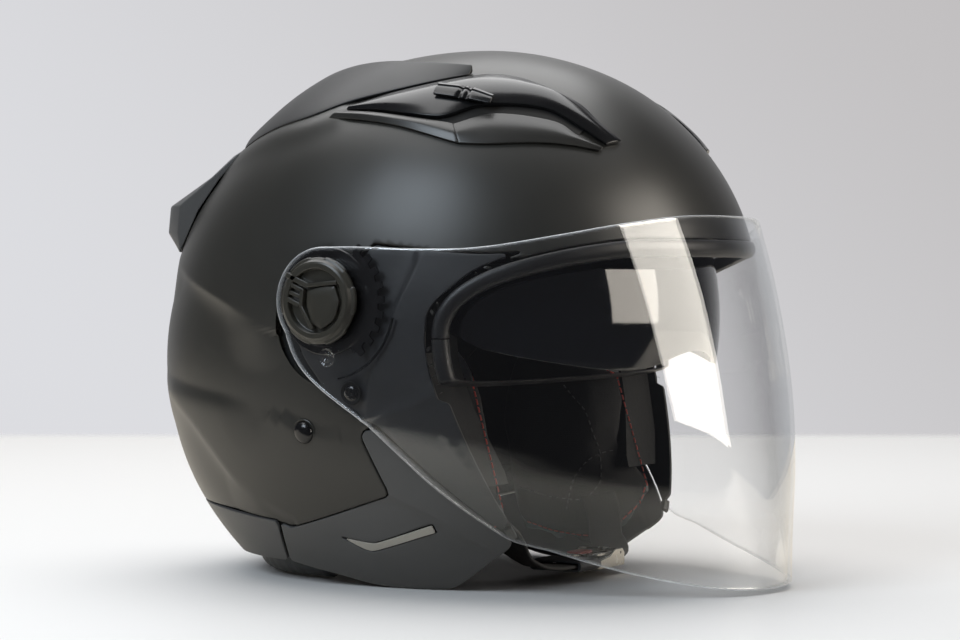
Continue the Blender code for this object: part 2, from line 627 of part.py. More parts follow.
def bore(radius):
    """The profile of a round hole through the shell."""
    return [(0, HOLE_REACH), (radius, HOLE_REACH), (radius, -HOLE_REACH), (0, -HOLE_REACH)]


def rivet_shape(profile):
    return turned(profile, skin_point(RIVET_Y, RIVET_Z), skin_normal(RIVET_Y, RIVET_Z), steps=16)


def screw_shape(profile):
    return turned(profile, skin_point(SCREW_Y, SCREW_Z), skin_normal(SCREW_Y, SCREW_Z), steps=14)


def grown(outline, by):
    """The outline pushed outwards by a distance, corner by corner."""
    count = len(outline)
    after = outline[1:] + outline[:1]
    area = sum(p[0] * q[1] - q[0] * p[1] for p, q in zip(outline, after))
    sign = math.copysign(1.0, area)
    result = []
    for i in range(count):
        normals = []
        for p, q in ((outline[i - 1], outline[i]), (outline[i], after[i])):
            length = math.dist(p, q)
            normals.append((sign * (q[1] - p[1]) / length, -sign * (q[0] - p[0]) / length))
        mean = (normals[0][0] + normals[1][0], normals[0][1] + normals[1][1])
        scale = by * 2.0 / max(mean[0] ** 2 + mean[1] ** 2, 0.8)
        result.append((outline[i][0] + mean[0] * scale, outline[i][1] + mean[1] * scale))
    return result


def panel(outline, inner=-RECESS + 0.4, outer=-RECESS + 0.4 + PANEL_WALL, x0=-ACROSS, x1=-20.0):
    """A cover in a recess of the shell, cut from a layer of the skin by its side-view outline."""
    return combine(layer(inner, outer), "INTERSECT", closed_mesh(prism(outline, x0, x1)))


def make_panels(looks):
    screw_hole = closed_mesh(screw_shape(bore(SCREW_CLEARANCE)))
    place_pair("side_plate", combine(panel(side_plate_outline()), "DIFFERENCE", screw_hole), looks["plate"])
    bed_outline = closed_mesh(prism(grown(CHEEK_ACCENT, GAP), -ACROSS, -20))
    accent_bed = combine(layer(ACCENT_BED, 6.0), "INTERSECT", bed_outline)
    trim = combine(panel(CHEEK_TRIM), "DIFFERENCE", accent_bed)
    slot = closed_mesh(block((-150, VISOR_SLOT_Y[0], VISOR_SLOT_Z[0]), (-50, VISOR_SLOT_Y[1], VISOR_SLOT_Z[1])))
    place("cheek_trim_left", mirrored(combine(trim.copy(), "DIFFERENCE", slot)), looks["trim"])
    place("cheek_trim_right", trim, looks["trim"])
    place("rear_trim", panel(REAR_TRIM, x1=ACROSS), looks["trim"])
    place_pair("cheek_accent", panel(CHEEK_ACCENT, ACCENT_INNER, ACCENT_OUTER), looks["accent"])


def make_fasteners(looks):
    place_pair("strap_rivet", closed_mesh(rivet_shape(RIVET_PROFILE)), looks["gloss"])
    origin, axis = skin_point(RIVET_Y, RIVET_Z), skin_normal(RIVET_Y, RIVET_Z)
    anchor = turned(ANCHOR_PROFILE, origin, axis, ring=True)
    place_pair("strap_anchor_plate", closed_mesh(anchor), looks["metal"])
    place_pair("side_plate_screw", closed_mesh(screw_shape(SCREW_PROFILE)), looks["gloss"])


def strap_start():
    """Where the webbing begins, just inside the rivet's inner head."""
    return np.array(skin_point(RIVET_Y, RIVET_Z)) - skin_normal(RIVET_Y, RIVET_Z) * STRAP_START_DEPTH


def strap_slot():
    start, end = strap_start(), np.array(STRAP_EXIT)
    run = (end - start) / np.linalg.norm(end - start)
    path = [start - run * 2.0, end + run * 30.0]
    return closed_mesh(ribbon(path, STRAP_SLOT_WIDTH, STRAP_SLOT_WALL, [(0, 1, 0)] * 2))


def make_foam_and_lining(looks):
    region = closed_mesh(prism(shell_region(FOAM_OPENING, FOAM_LOWER)))
    foam = combine(layer(FOAM_INNER, FOAM_OUTER), "INTERSECT", region)
    neck = closed_mesh(column(NECK_HALF_WIDTH, NECK_HALF_LENGTH, NECK_Y, -20, 110))
    bowl = closed_mesh(visor_egg(-VISOR_WALL - VISOR_POCKET_GAP))
    pocket = combine(closed_mesh(prism(VISOR_POCKET)), "DIFFERENCE", bowl)
    radius, depth = ANCHOR_POCKET_RADIUS, ANCHOR_POCKET_DEPTH
    anchor_pocket = closed_mesh(rivet_shape([(0, 0), (radius, 0), (radius, -depth), (0, -depth)]))
    tools = [neck, pocket, mirrored(anchor_pocket), anchor_pocket]
    slot = strap_slot()
    foam = combine(foam, "DIFFERENCE", *tools, mirrored(slot), slot)
    place("eps_liner", foam, looks["foam"])
    lining = combine(layer(LINING_INNER, FOAM_INNER - GAP), "INTERSECT", closed_mesh(prism(CROWN_LINING)))
    place("crown_lining", lining, looks["lining"])


def make_cheek_pads(looks):
    """The pads fill the cheeks inside the foam; at their foot they reach out to the shell."""
    pad = layer(CHEEK_INNER, CHEEK_FOOT)
    pad = combine(pad, "INTERSECT", closed_mesh(prism(CHEEK_PAD, -ACROSS, -CHEEK_CLEAR_X)))
    above = closed_mesh(block((-ACROSS, -ACROSS, CHEEK_FOOT_TOP), (ACROSS, ACROSS, ACROSS)))
    above = combine(above, "DIFFERENCE", closed_mesh(egg(FOAM_INNER - GAP)))
    pad = combine(pad, "DIFFERENCE", above, strap_slot())
    place_pair("cheek_pad", pad, looks["lining"])


def make_neck_roll(looks):
    steps = 18
    path = []
    for k in range(steps + 1):
        turn = math.pi * k / steps
        x = -NECK_ROLL_HALF_WIDTH * math.copysign(abs(math.cos(turn)) ** (2 / NECK_ROLL_POWER), math.cos(turn))
        y = NECK_ROLL_START_Y + NECK_ROLL_DEPTH * math.sin(turn) ** (2 / NECK_ROLL_POWER)
        path.append((x, y, NECK_ROLL_Z))
    place("neck_roll", closed_mesh(sweep(path, NECK_ROLL_THICK, NECK_ROLL_TALL)), looks["lining"])


def make_gasket(looks):
    opening = FACE_OPENING + [(-240, FACE_OPENING[-1][1])]
    band = combine(layer(GASKET_INNER, GASKET_OUTER), "INTERSECT", closed_mesh(prism(grown(opening, -GAP))))
    band = combine(band, "DIFFERENCE", closed_mesh(prism(grown(opening, -GASKET_LIP))))
    below = closed_mesh(block((-ACROSS, -240, -10), (ACROSS, 240, GASKET_FOOT)))
    band = combine(band, "DIFFERENCE", below)
    place("eye_port_gasket", band, looks["rubber"])


def make_shield(looks):
    edge = SHIELD_EDGE + [(PIVOT_Y, PIVOT_Z + EAR_RADIUS)] + arc(PIVOT_Y, PIVOT_Z, EAR_RADIUS, 75, -60, 9)
    shield = combine(closed_mesh(shield_layer()), "INTERSECT", closed_mesh(prism(edge)))
    ear_hole = closed_mesh(disc(EAR_HOLE, -ACROSS, ACROSS, steps=24))
    place("shield", combine(shield, "DIFFERENCE", ear_hole), looks["clear"], (0.0, PIVOT_Y, PIVOT_Z))


def make_pivots(looks):
    centre = (0.0, PIVOT_Y, PIVOT_Z)
    base = turned(PIVOT_BASE_PROFILE, centre, (-1, 0, 0), steps=28)
    place_pair("pivot_base", closed_mesh(base), looks["plate"])
    dial = closed_mesh(disc(DIAL_RADIUS, DIAL_OUTER_X, DIAL_INNER_X, steps=2 * DIAL_TEETH, teeth=0.9))
    dish = closed_mesh(disc(DIAL_DISH, DIAL_OUTER_X - 7.0, DIAL_DISH_X, steps=28))
    dial = combine(dial, "DIFFERENCE", dish)
    grip = block(
        (GRIP_OUTER_X, PIVOT_Y - GRIP_HALF_WIDTH, PIVOT_Z - GRIP_HALF_LENGTH),
        (GRIP_INNER_X, PIVOT_Y + GRIP_HALF_WIDTH, PIVOT_Z + GRIP_HALF_LENGTH),
    )
    dial = combine(dial, "UNION", closed_mesh(grip))
    place_pair("pivot_dial", dial, looks["gloss"], (DIAL_PIVOT_X, PIVOT_Y, PIVOT_Z))


def visor_egg(offset):
    return egg(offset, lambda angle: VISOR_RADIUS, (VISOR_Y, VISOR_Z), VISOR_HALF_WIDTH)


def make_sun_visor(looks):
    sheet = closed_mesh(visor_egg(0.0), visor_egg(-VISOR_WALL), inward=(1,))
    edge = VISOR_EDGE + arc(VISOR_Y, VISOR_Z, VISOR_ARM_RADIUS, -110, 110, 10) + [(-44, 146)]
    sheet = combine(sheet, "INTERSECT", closed_mesh(prism(edge)))
    hole = closed_mesh(disc(VISOR_HOLE, -ACROSS, ACROSS, VISOR_Y, VISOR_Z, steps=14))
    place("sun_visor", combine(sheet, "DIFFERENCE", hole), looks["smoke"], (0.0, VISOR_Y, VISOR_Z))
    pin = turned(VISOR_PIN_PROFILE, (0.0, VISOR_Y, VISOR_Z), (-1, 0, 0), steps=14)
    place_pair("sun_visor_pin", closed_mesh(pin), looks["metal"])


def make_roof_pieces(looks):
    place_pair("top_vent_base", closed_mesh(slab(VENT_BASE, 0.9, BASE_RISE, along=2)), looks["gloss"])
    place_pair("top_vent_cover", closed_mesh(slab(VENT_COVER, 0.9, COVER_RISE, taper=0.7)), looks["trim"])
    fairing = slab(REAR_FAIRING, 0.9, FAIRING_RISE, taper=0.35, along=2, across=2)
    place_pair("rear_fairing", closed_mesh(fairing), looks["trim"])
    place_pair("vent_slider", closed_mesh(slab(VENT_SLIDER, SLIDER_LIFT, SLIDER_RISE)), looks["gloss"])
    place("rear_spoiler", closed_mesh(spoiler_shape()), looks["trim"])


def spoiler_shape():
    """A wedge across the back, lofted through six-sided sections from right to left."""
    stations = SPOILER_STATIONS + [(-x, y) for x, y in reversed(SPOILER_STATIONS[:-1])]
    verts = []
    for x, edge_y in stations:
        section = [
            rear_point(x, SPOILER_TOP, SPOILER_OVER_SKIN), rear_point(x, SPOILER_TOP - 4.0, 3.2),
            rear_point(x, 203, 6.0), (edge_y - 1.5, SPOILER_EDGE_TOP), (edge_y, SPOILER_EDGE),
            rear_point(x, SPOILER_FOOT, SPOILER_OVER_SKIN), rear_point(x, 188, SPOILER_OVER_SKIN),
            rear_point(x, 204, SPOILER_OVER_SKIN),
        ]
        verts += [(x, y, z) for y, z in section]
    faces = []
    width = 8
    for i in range(len(stations) - 1):
        for k in range(width):
            after = (k + 1) % width
            faces.append((i * width + k, i * width + after, (i + 1) * width + after, (i + 1) * width + k))
    end = (len(stations) - 1) * width
    faces += [tuple(range(width - 1, -1, -1)), tuple(range(end, end + width))]
    return verts, faces


def make_visor_slider(looks):
    rows = [[(y, z) for z in KNOB_HEIGHTS] for y in KNOB_PLACES]
    knob = slab(rows, KNOB_FOOT, KNOB_RISE, side=LEFT)
    place("sun_visor_slider", closed_mesh(knob), looks["gloss"])


def across_bar(radius, x, z, half_length, steps=12):
    """A round bar along Y in the buckle."""
    profile = [(0, -half_length), (radius, -half_length), (radius, half_length), (0, half_length)]
    return closed_mesh(turned(profile, (x, BUCKLE_Y, z), (0, 1, 0), steps=steps))


def buckle_block(x0, x1, half_width, z0, z1):
    return closed_mesh(block((x0, BUCKLE_Y - half_width, z0), (x1, BUCKLE_Y + half_width, z1)))


def make_chin_strap(looks):
    start, end = strap_start(), np.array(STRAP_EXIT)
    right = ribbon([start, end] + STRAP_LOOP, STRAP_WIDTH, STRAP_WALL, STRAP_LEAN)
    place("chin_strap_right", closed_mesh(right), looks["webbing"])
    left = ribbon([start, end] + SHORT_STRAP_LOOP, SHORT_STRAP_WIDTH, STRAP_WALL, SHORT_STRAP_LEAN)
    place("chin_strap_left", mirrored(closed_mesh(left)), looks["webbing"])
    low, high = STRIP_LEVEL - SLEEVE_HALF_HEIGHT, STRIP_LEVEL + SLEEVE_HALF_HEIGHT
    sleeve = buckle_block(SLEEVE_NEAR, SLEEVE_FAR, SLEEVE_HALF_WIDTH, low, high)
    low, high = STRIP_LEVEL - SLEEVE_BORE_HALF_HEIGHT, STRIP_LEVEL + SLEEVE_BORE_HALF_HEIGHT
    tunnel = buckle_block(-ACROSS, ACROSS, SLEEVE_BORE_HALF_WIDTH, low, high)
    place("chin_strap_sleeve", combine(sleeve, "DIFFERENCE", tunnel), looks["lining"])


def make_buckle(looks):
    outer = buckle_block(BUCKLE_NEAR, BUCKLE_FAR, BUCKLE_HALF_WIDTH, BUCKLE_LOW, BUCKLE_HIGH)
    inside = BUCKLE_HALF_WIDTH - BUCKLE_WALL
    channel = buckle_block(-ACROSS, ACROSS, inside, BUCKLE_LOW + BUCKLE_WALL, 40)
    pin = across_bar(LEVER_PIN, LEVER_PIN_X, LEVER_PIN_Z, BUCKLE_HALF_WIDTH - 0.4)
    place("buckle_body", combine(combine(outer, "DIFFERENCE", channel), "UNION", pin), looks["metal"])
    lever_half = inside - LEVER_GAP
    lever = buckle_block(BUCKLE_NEAR + LEVER_SET_BACK, LEVER_PIN_X + 0.5, lever_half, LEVER_LOW, LEVER_HIGH)
    lever = combine(lever, "UNION", across_bar(LEVER_EYE, LEVER_PIN_X, LEVER_PIN_Z, lever_half))
    lever = combine(lever, "DIFFERENCE", across_bar(LEVER_BORE, LEVER_PIN_X, LEVER_PIN_Z, 20.0))
    pivot = (LEVER_PIN_X, BUCKLE_Y, LEVER_PIN_Z)
    place("buckle_lever", lever, looks["metal"], pivot)
    tab = buckle_block(TAB_NEAR, TAB_FAR, TAB_HALF_WIDTH, TAB_LOW, TAB_HIGH)
    place("buckle_pull_tab", tab, looks["red"], pivot)
    low, high = STRIP_LEVEL - STRIP_HALF_WALL, STRIP_LEVEL + STRIP_HALF_WALL
    strip = buckle_block(STRIP_NEAR, STRIP_FAR, STRIP_HALF_WIDTH, low, high)
    place("ratchet_strip", strip, looks["gloss"], (0.0, BUCKLE_Y, STRIP_LEVEL))


# ================================ assembly =============================================================
def main():
    for obj in list(bpy.data.objects):
        bpy.data.objects.remove(obj, do_unlink=True)
    looks = make_looks()
    make_shell(looks)
    make_panels(looks)
    make_fasteners(looks)
    make_foam_and_lining(looks)
    make_cheek_pads(looks)
    make_neck_roll(looks)
    make_gasket(looks)
    make_shield(looks)
    make_pivots(looks)
    make_sun_visor(looks)
    make_roof_pieces(looks)
    make_visor_slider(looks)
    make_chin_strap(looks)
    make_buckle(looks)


main()
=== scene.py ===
"""Looks for the open-face helmet: fine surfaces, materials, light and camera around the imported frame.

The helmet faces -Y and stands on Z = 0.  Lengths are millimetres until a mesh is made; the
wearer's right side, which the camera sees, is at -X.  Most pieces are sheets of one egg-shaped
skin: a sheet starts as a fine grid, is clipped by side-view outlines and gets a rounded rim.
"""

import json
import math

import bmesh
import bpy
import numpy as np
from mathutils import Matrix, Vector
from mathutils.bvhtree import BVHTree


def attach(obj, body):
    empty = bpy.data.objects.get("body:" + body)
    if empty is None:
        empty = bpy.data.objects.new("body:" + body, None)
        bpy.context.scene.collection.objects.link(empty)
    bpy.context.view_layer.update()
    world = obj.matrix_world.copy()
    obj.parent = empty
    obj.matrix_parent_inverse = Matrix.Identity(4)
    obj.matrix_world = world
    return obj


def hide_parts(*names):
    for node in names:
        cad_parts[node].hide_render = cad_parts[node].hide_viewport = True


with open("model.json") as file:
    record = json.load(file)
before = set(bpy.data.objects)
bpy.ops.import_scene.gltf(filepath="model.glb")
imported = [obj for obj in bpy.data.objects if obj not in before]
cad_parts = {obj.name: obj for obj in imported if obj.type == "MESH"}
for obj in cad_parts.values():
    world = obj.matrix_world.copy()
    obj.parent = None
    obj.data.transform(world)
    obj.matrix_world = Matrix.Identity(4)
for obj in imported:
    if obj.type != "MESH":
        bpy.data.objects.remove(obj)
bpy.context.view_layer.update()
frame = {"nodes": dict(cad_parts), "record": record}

MM = 0.001
RIGHT, LEFT = -1, 1
SIDES = ((RIGHT, "right"), (LEFT, "left"))

# --- the skin of the shell ---------------------------------------------------------------
SHELL_Y, SHELL_Z = 8.0, 135.0
SHELL_HALF_WIDTH = 127.0
SIDE_POWER, RADIAL_POWER = 2.1, 2.3
MERIDIAN = [
    (-60, 170), (-30, 160), (0, 157), (20, 156.5), (45, 150), (70, 141), (90, 135.6), (115, 136),
    (140, 143), (160, 153), (180, 162), (195, 168), (210, 173), (230, 175), (250, 175), (270, 172),
]
SHELL_WALL, RECESS, PANEL_WALL = 3.6, 2.2, 1.7
PANEL_TOP = -RECESS + 0.4 + PANEL_WALL
SEAM = 0.5
POLE_GAP = 0.16  # radians left open round the middle of each side

# --- side-view outlines (y, z); corners sharper than CORNER stay sharp -----------------------
CORNER = 38.0
FACE_OPENING = [
    (-240, 172), (-128, 172), (-112, 169.5), (-94, 165), (-78, 160), (-65, 154), (-54, 146),
    (-47, 136), (-45, 126), (-46, 110), (-50, 94), (-57, 70), (-64, 48), (-70, 32), (-71, 27),
]
LOWER_EDGE = [
    (-71, 27), (-66, 22), (-52, 12), (-38, 3), (-30, 0), (4, 0), (30, 5), (58, 10), (114, 10), (240, 10),
]
CHEEK_TRIM = [
    (-10, 79.5), (-7.5, 79), (-6, 76), (-15.5, 50.5), (-15.5, 48), (-14, 46.5), (47, 28.5), (55, 30), (58, 10),
    (30, 5), (4, 0), (-30, 0), (-38, 3), (-52, 12), (-66, 22), (-68, 25), (-66, 29), (-17, 78.5),
]
REAR_TRIM = [(57, 31), (115, 35.5), (240, 40), (240, 10), (114, 10), (60, 10)]
SIDE_PLATE = [
    (-15, 169), (-39, 166.5), (-66, 164.5), (-84, 165), (-66.5, 157.5), (-56, 149.5), (-44.5, 138),
    (-42.3, 126), (-43.3, 110.5), (-47.3, 95), (-52.5, 93), (-59.5, 70), (-66, 48), (-69.5, 36), (-66, 31),
    (-16.5, 81), (-8, 85), (11, 97), (18.5, 106.5), (24.5, 115), (29, 126), (20, 140),
]
SHIELD_EDGE = [
    (31, 126), (26.5, 115), (20, 106.5), (9, 97.5), (-8, 86), (-16, 80), (-66, 29), (-90, 21), (-116, 13),
    (-140, 7), (-160, 3), (-176, 1.5), (-240, 1.5), (-240, 184), (-146, 184), (-129, 180), (-102, 173.2),
    (-70, 167.6), (-39, 167), (-10, 168),
]
VISOR_EDGE = [
    (-48, 158), (-60, 172), (-78, 184), (-100, 192), (-126, 196), (-240, 196), (-240, 122), (-131, 122),
    (-121, 110), (-112, 108), (-90, 112), (-60, 119), (-50, 124), (-44, 127),
]
CHEEK_ACCENT = [(17, 25), (6, 19.5), (1, 18.8), (-35, 29.5), (-34, 33), (-2, 23), (4, 23)]

# --- shield, pivots and sun visor ----------------------------------------------------------
PIVOT_Y, PIVOT_Z = 10.0, 142.0
SHIELD_WALL, SHIELD_POWER = 2.2, 2.2
SHIELD_WIDTHS = [
    (0, 84), (29, 97), (41, 107), (54, 117), (66, 123), (80, 128.5), (95, 131.2), (110, 132.1), (190, 132.1),
]
SHIELD_DEPTHS = [(0, 173), (45, 171), (118, 163), (160, 153.5), (184, 146), (190, 144)]
EAR_RADIUS, EAR_HOLE = 26.0, 12.0
VISOR_Y, VISOR_Z = 8.0, 133.0
VISOR_RADIUS, VISOR_HALF_WIDTH, VISOR_WALL = 136.0, 112.0, 2.0
RIVET_Y, RIVET_Z, RIVET_HOLE = 27.0, 77.5, 3.7
SCREW_Y, SCREW_Z, SCREW_HOLE = -2.5, 97.5, 2.2
BOSS_Y, BOSS_Z = 6.3, 114.8


# ================================ curves and fields ==============================================
def reading(table, values, period=None):
    """Smooth reading of a table of (place, value) pairs: a cubic through its points."""
    places = np.array([p for p, _ in table], float)
    heights = np.array([v for _, v in table], float)
    if period:
        places = np.concatenate([places[-2:] - period, places, places[:3] + period])
        heights = np.concatenate([heights[-2:], heights, heights[:3]])
        values = (np.asarray(values, float) - places[2]) % period + places[2]
    slopes = np.gradient(heights, places)
    values = np.clip(np.asarray(values, float), places[0], places[-1])
    low = np.clip(np.searchsorted(places, values, side="right") - 1, 0, len(places) - 2)
    span = places[low + 1] - places[low]
    t = (values - places[low]) / span
    return (
        (2 * t**3 - 3 * t**2 + 1) * heights[low] + (t**3 - 2 * t**2 + t) * span * slopes[low]
        + (3 * t**2 - 2 * t**3) * heights[low + 1] + (t**3 - t**2) * span * slopes[low + 1]
    )


def meridian_radius(angle):
    return reading(MERIDIAN, angle, 360.0)


def curved(points, closed=True, step=1.5):
    """An outline resampled along smooth curves between its sharp corners."""
    points = np.array(points, float)
    count = len(points)
    before, after = np.roll(points, 1, 0), np.roll(points, -1, 0)
    turn_in = np.arctan2(*(points - before).T[::-1])
    turn_out = np.arctan2(*(after - points).T[::-1])
    turning = np.abs((np.degrees(turn_out - turn_in) + 180) % 360 - 180)
    sharp = turning > CORNER
    if not closed:
        sharp[[0, -1]] = True
    result = []
    for i in range(count if closed else count - 1):
        p1, p2 = points[i], points[(i + 1) % count]
        p0 = p1 if sharp[i] else points[i - 1]
        p3 = p2 if sharp[(i + 1) % count] else points[(i + 2) % count]
        length = np.linalg.norm(p2 - p1)
        lead = (p2 - p0) * length / max(np.linalg.norm(p2 - p1) + np.linalg.norm(p1 - p0), 1e-6)
        tail = (p3 - p1) * length / max(np.linalg.norm(p3 - p2) + np.linalg.norm(p2 - p1), 1e-6)
        steps = max(int(min(length, 40) / step), 1)
        t = (np.arange(steps) / steps)[:, None]
        result.append(
            (2 * t**3 - 3 * t**2 + 1) * p1 + (t**3 - 2 * t**2 + t) * lead
            + (3 * t**2 - 2 * t**3) * p2 + (t**3 - t**2) * tail
        )
    if not closed:
        result.append(points[-1:])
    return np.concatenate(result)


def nearest(line, y, z, closed):
    """Distance from side-view points to a line, the direction from it, and which side of it they lie on."""
    starts = line if closed else line[:-1]
    ends = np.roll(line, -1, 0) if closed else line[1:]
    runs = ends - starts
    best = np.full(len(y), np.inf)
    away = np.zeros((len(y), 2))
    crossings = np.zeros(len(y), int)
    hand = np.zeros(len(y))
    for start, end, run in zip(starts, ends, runs):
        rel_y, rel_z = y - start[0], z - start[1]
        t = np.clip((rel_y * run[0] + rel_z * run[1]) / max(run @ run, 1e-9), 0, 1)
        off_y, off_z = rel_y - t * run[0], rel_z - t * run[1]
        distance = np.hypot(off_y, off_z)
        closer = distance < best
        best[closer] = distance[closer]
        away[closer] = np.stack([off_y, off_z], 1)[closer]
        hand[closer] = (run[0] * rel_z - run[1] * rel_y)[closer]
        spans = (start[1] > z) != (end[1] > z)
        if run[1]:
            crossings += spans & (y < start[0] + run[0] * (z - start[1]) / run[1])
    away /= np.maximum(np.linalg.norm(away, axis=1), 1e-9)[:, None]
    return best, away, crossings % 2 == 1, np.sign(hand)


def inside_of(outline, grow=0.0):
    """A side-view shape: signed distance to its edge, positive inside, and the way in."""
    line = curved(outline)

    def shape(y, z):
        distance, away, inside, _ = nearest(line, y, z, True)
        sign = np.where(inside, 1.0, -1.0)
        return distance * sign + grow, away * sign[:, None]

    return shape


def outside(shape):
    """The same edge with its two sides swapped."""

    def swapped(y, z):
        value, way_in = shape(y, z)
        return -value, -way_in

    return swapped


def outside_of(outline, grow=0.0):
    return outside(inside_of(outline, grow))


def circle_shape(y0, z0, radius, keep_inside):
    sign = 1.0 if keep_inside else -1.0

    def shape(y, z):
        away = np.stack([y - y0, z - z0], 1)
        distance = np.maximum(np.linalg.norm(away, axis=1), 1e-9)
        return sign * (radius - distance), -sign * away / distance[:, None]

    return shape


def choose(shapes, pick):
    def shape(y, z):
        read = [s(y, z) for s in shapes]
        values = np.stack([r[0] for r in read])
        index = pick(values, axis=0)
        ways = np.stack([r[1] for r in read])
        rows = np.arange(len(y))
        return values[index, rows], ways[index, rows]

    return shape


def common(*shapes):
    return choose(shapes, np.argmin)


def united(*shapes):
    return choose(shapes, np.argmax)


def fold(line, depth, reach, fade=25.0):
    """A crease in the skin along a side-view line: the surface dips on one side of it and comes back."""
    path = curved(line, closed=False)
    first, last = path[0], path[-1]

    def rise(y, z):
        distance, _, _, hand = nearest(path, y, z, False)
        side = distance * hand
        dip = np.where(side > 0, -depth * (side / reach) * np.exp(1 - side / reach), 0.0)
        ends = np.minimum(np.hypot(y - first[0], z - first[1]), np.hypot(y - last[0], z - last[1]))
        return dip * np.clip(ends / fade, 0, 1)

    return rise


def ridge(line, height, width):
    """A soft raised or sunk line; height is negative for a groove."""
    path = curved(line, closed=False)

    def rise(y, z):
        distance = nearest(path, y, z, False)[0]
        return height * np.exp(-((distance / width) ** 2))

    return rise


# ================================ grids of the skin ================================================
def skin(y, z, offset=0.0, side=RIGHT):
    """Points of the offset skin for side-view points of the skin itself."""
    y, z = np.broadcast_arrays(np.asarray(y, float), np.asarray(z, float))
    angle = np.arctan2(z - SHELL_Z, SHELL_Y - y)
    radius = meridian_radius(np.degrees(angle))
    t = np.minimum(np.hypot(y - SHELL_Y, z - SHELL_Z) / radius, 1.0)
    reach = (radius + offset) * t
    x = (SHELL_HALF_WIDTH + offset) * np.maximum(1.0 - t**RADIAL_POWER, 0.0) ** (1.0 / SIDE_POWER)
    return np.stack([side * x, SHELL_Y - reach * np.cos(angle), SHELL_Z + reach * np.sin(angle)], -1)


def skin_normals(points, half_width=SHELL_HALF_WIDTH, centre=(SHELL_Y, SHELL_Z), radius_at=meridian_radius):
    """Outward directions of an egg at points on it."""
    x, y, z = points.T
    rho = np.maximum(np.hypot(y - centre[0], z - centre[1]), 1e-6)
    angle = np.arctan2(z - centre[1], centre[0] - y)
    radius = radius_at(np.degrees(angle))
    slope = (radius_at(np.degrees(angle) + 0.5) - radius_at(np.degrees(angle) - 0.5)) / math.radians(1.0)
    push_x = SIDE_POWER * np.abs(x) ** (SIDE_POWER - 1) * np.sign(x) / half_width**SIDE_POWER
    push_r = RADIAL_POWER * rho ** (RADIAL_POWER - 1) / radius**RADIAL_POWER
    push_a = -RADIAL_POWER * rho**RADIAL_POWER * slope / radius ** (RADIAL_POWER + 1) / rho
    c, s = np.cos(angle), np.sin(angle)
    normal = np.stack([push_x, -push_r * c + push_a * s, push_r * s + push_a * c], 1)
    return normal / np.linalg.norm(normal, axis=1)[:, None]


def grid_faces(rows, columns, closed=False):
    i, j = np.meshgrid(np.arange(rows - 1), np.arange(columns if closed else columns - 1), indexing="ij")
    a = i * columns + j
    b = i * columns + (j + 1) % columns
    return np.stack([a, b, b + columns, a + columns], -1).reshape(-1, 4)


def egg_grid(offset=0.0, around=360, across=60, angles=None, radius_at=meridian_radius,
             centre=(SHELL_Y, SHELL_Z), half_width=SHELL_HALF_WIDTH):
    """A grid over an egg from one side to the other, leaving the middle of each side open."""
    closed = angles is None
    turns = np.linspace(POLE_GAP, math.pi - POLE_GAP, 2 * across + 1)
    angle = np.linspace(0, 360, around, endpoint=False) if closed else np.linspace(*angles, around)
    t = np.sin(turns) ** (2.0 / RADIAL_POWER)
    x = -np.sign(np.cos(turns)) * np.abs(np.cos(turns)) ** (2.0 / SIDE_POWER) * (half_width + offset)
    reach = np.outer(t, radius_at(angle) + offset)
    y = centre[0] - reach * np.cos(np.radians(angle))
    z = centre[1] + reach * np.sin(np.radians(angle))
    points = np.stack([np.repeat(x, len(angle)), y.ravel(), z.ravel()], 1)
    normals = skin_normals(points, half_width + offset, centre, lambda a: radius_at(a) + offset)
    return points, normals, grid_faces(len(turns), len(angle), closed)


def side_grid(low, high, step, side=RIGHT, offset=0.0):
    """A grid of the skin over a side-view rectangle on one side of the helmet."""
    ys = np.arange(low[0], high[0] + step, step)
    zs = np.arange(low[1], high[1] + step, step)
    y, z = np.meshgrid(ys, zs)
    points = skin(y.ravel(), z.ravel(), offset, side)
    faces = grid_faces(len(zs), len(ys))
    if side == LEFT:
        faces = faces[:, ::-1]
    return points, skin_normals(points), faces[:, ::-1]


# ================================ sheets: clip, thicken, round the rim =============================
def along_skin(points, normals, shape):
    """Distance along a surface to a shape's edge, and the direction that leads out of the shape."""
    value, way_in = shape(points[:, 1], points[:, 2])
    inward = np.concatenate([np.zeros((len(points), 1)), way_in], 1)
    inward -= normals * (inward * normals).sum(1)[:, None]
    size = np.clip(np.linalg.norm(inward, axis=1), 0.2, 1.0)
    return value / size, -inward / size[:, None]


def clip(points, normals, faces, value):
    """The part of a mesh where value is positive, with its cut edges as directed vertex pairs."""
    inside = value >= 0
    count = inside[faces].sum(1)
    kept = [tuple(f) for f in faces[count == faces.shape[1]]]
    extra_points, extra_normals, made, cut = [], [], {}, []
    for face in faces[(count > 0) & (count < faces.shape[1])]:
        ring, leaves, enters = [], None, None
        for a, b in zip(face, np.roll(face, -1)):
            if inside[a]:
                ring.append(a)
            if inside[a] == inside[b]:
                continue
            key = (min(a, b), max(a, b))
            if key not in made:
                share = value[a] / (value[a] - value[b])
                made[key] = len(points) + len(extra_points)
                extra_points.append(points[a] + share * (points[b] - points[a]))
                extra_normals.append(normals[a] + share * (normals[b] - normals[a]))
            ring.append(made[key])
            if inside[a]:
                leaves = made[key]
            else:
                enters = made[key]
        if len(ring) > 2:
            kept.append(tuple(ring))
            cut.append((leaves, enters))
    if extra_points:
        points = np.concatenate([points, extra_points])
        normals = np.concatenate([normals, extra_normals])
    used = sorted({v for face in kept for v in face})
    renumber = {v: i for i, v in enumerate(used)}
    kept = [tuple(renumber[v] for v in face) for face in kept]
    cut = [(renumber[a], renumber[b]) for a, b in cut if a in renumber and b in renumber]
    normals = normals[used]
    return points[used], normals / np.linalg.norm(normals, axis=1)[:, None], kept, cut


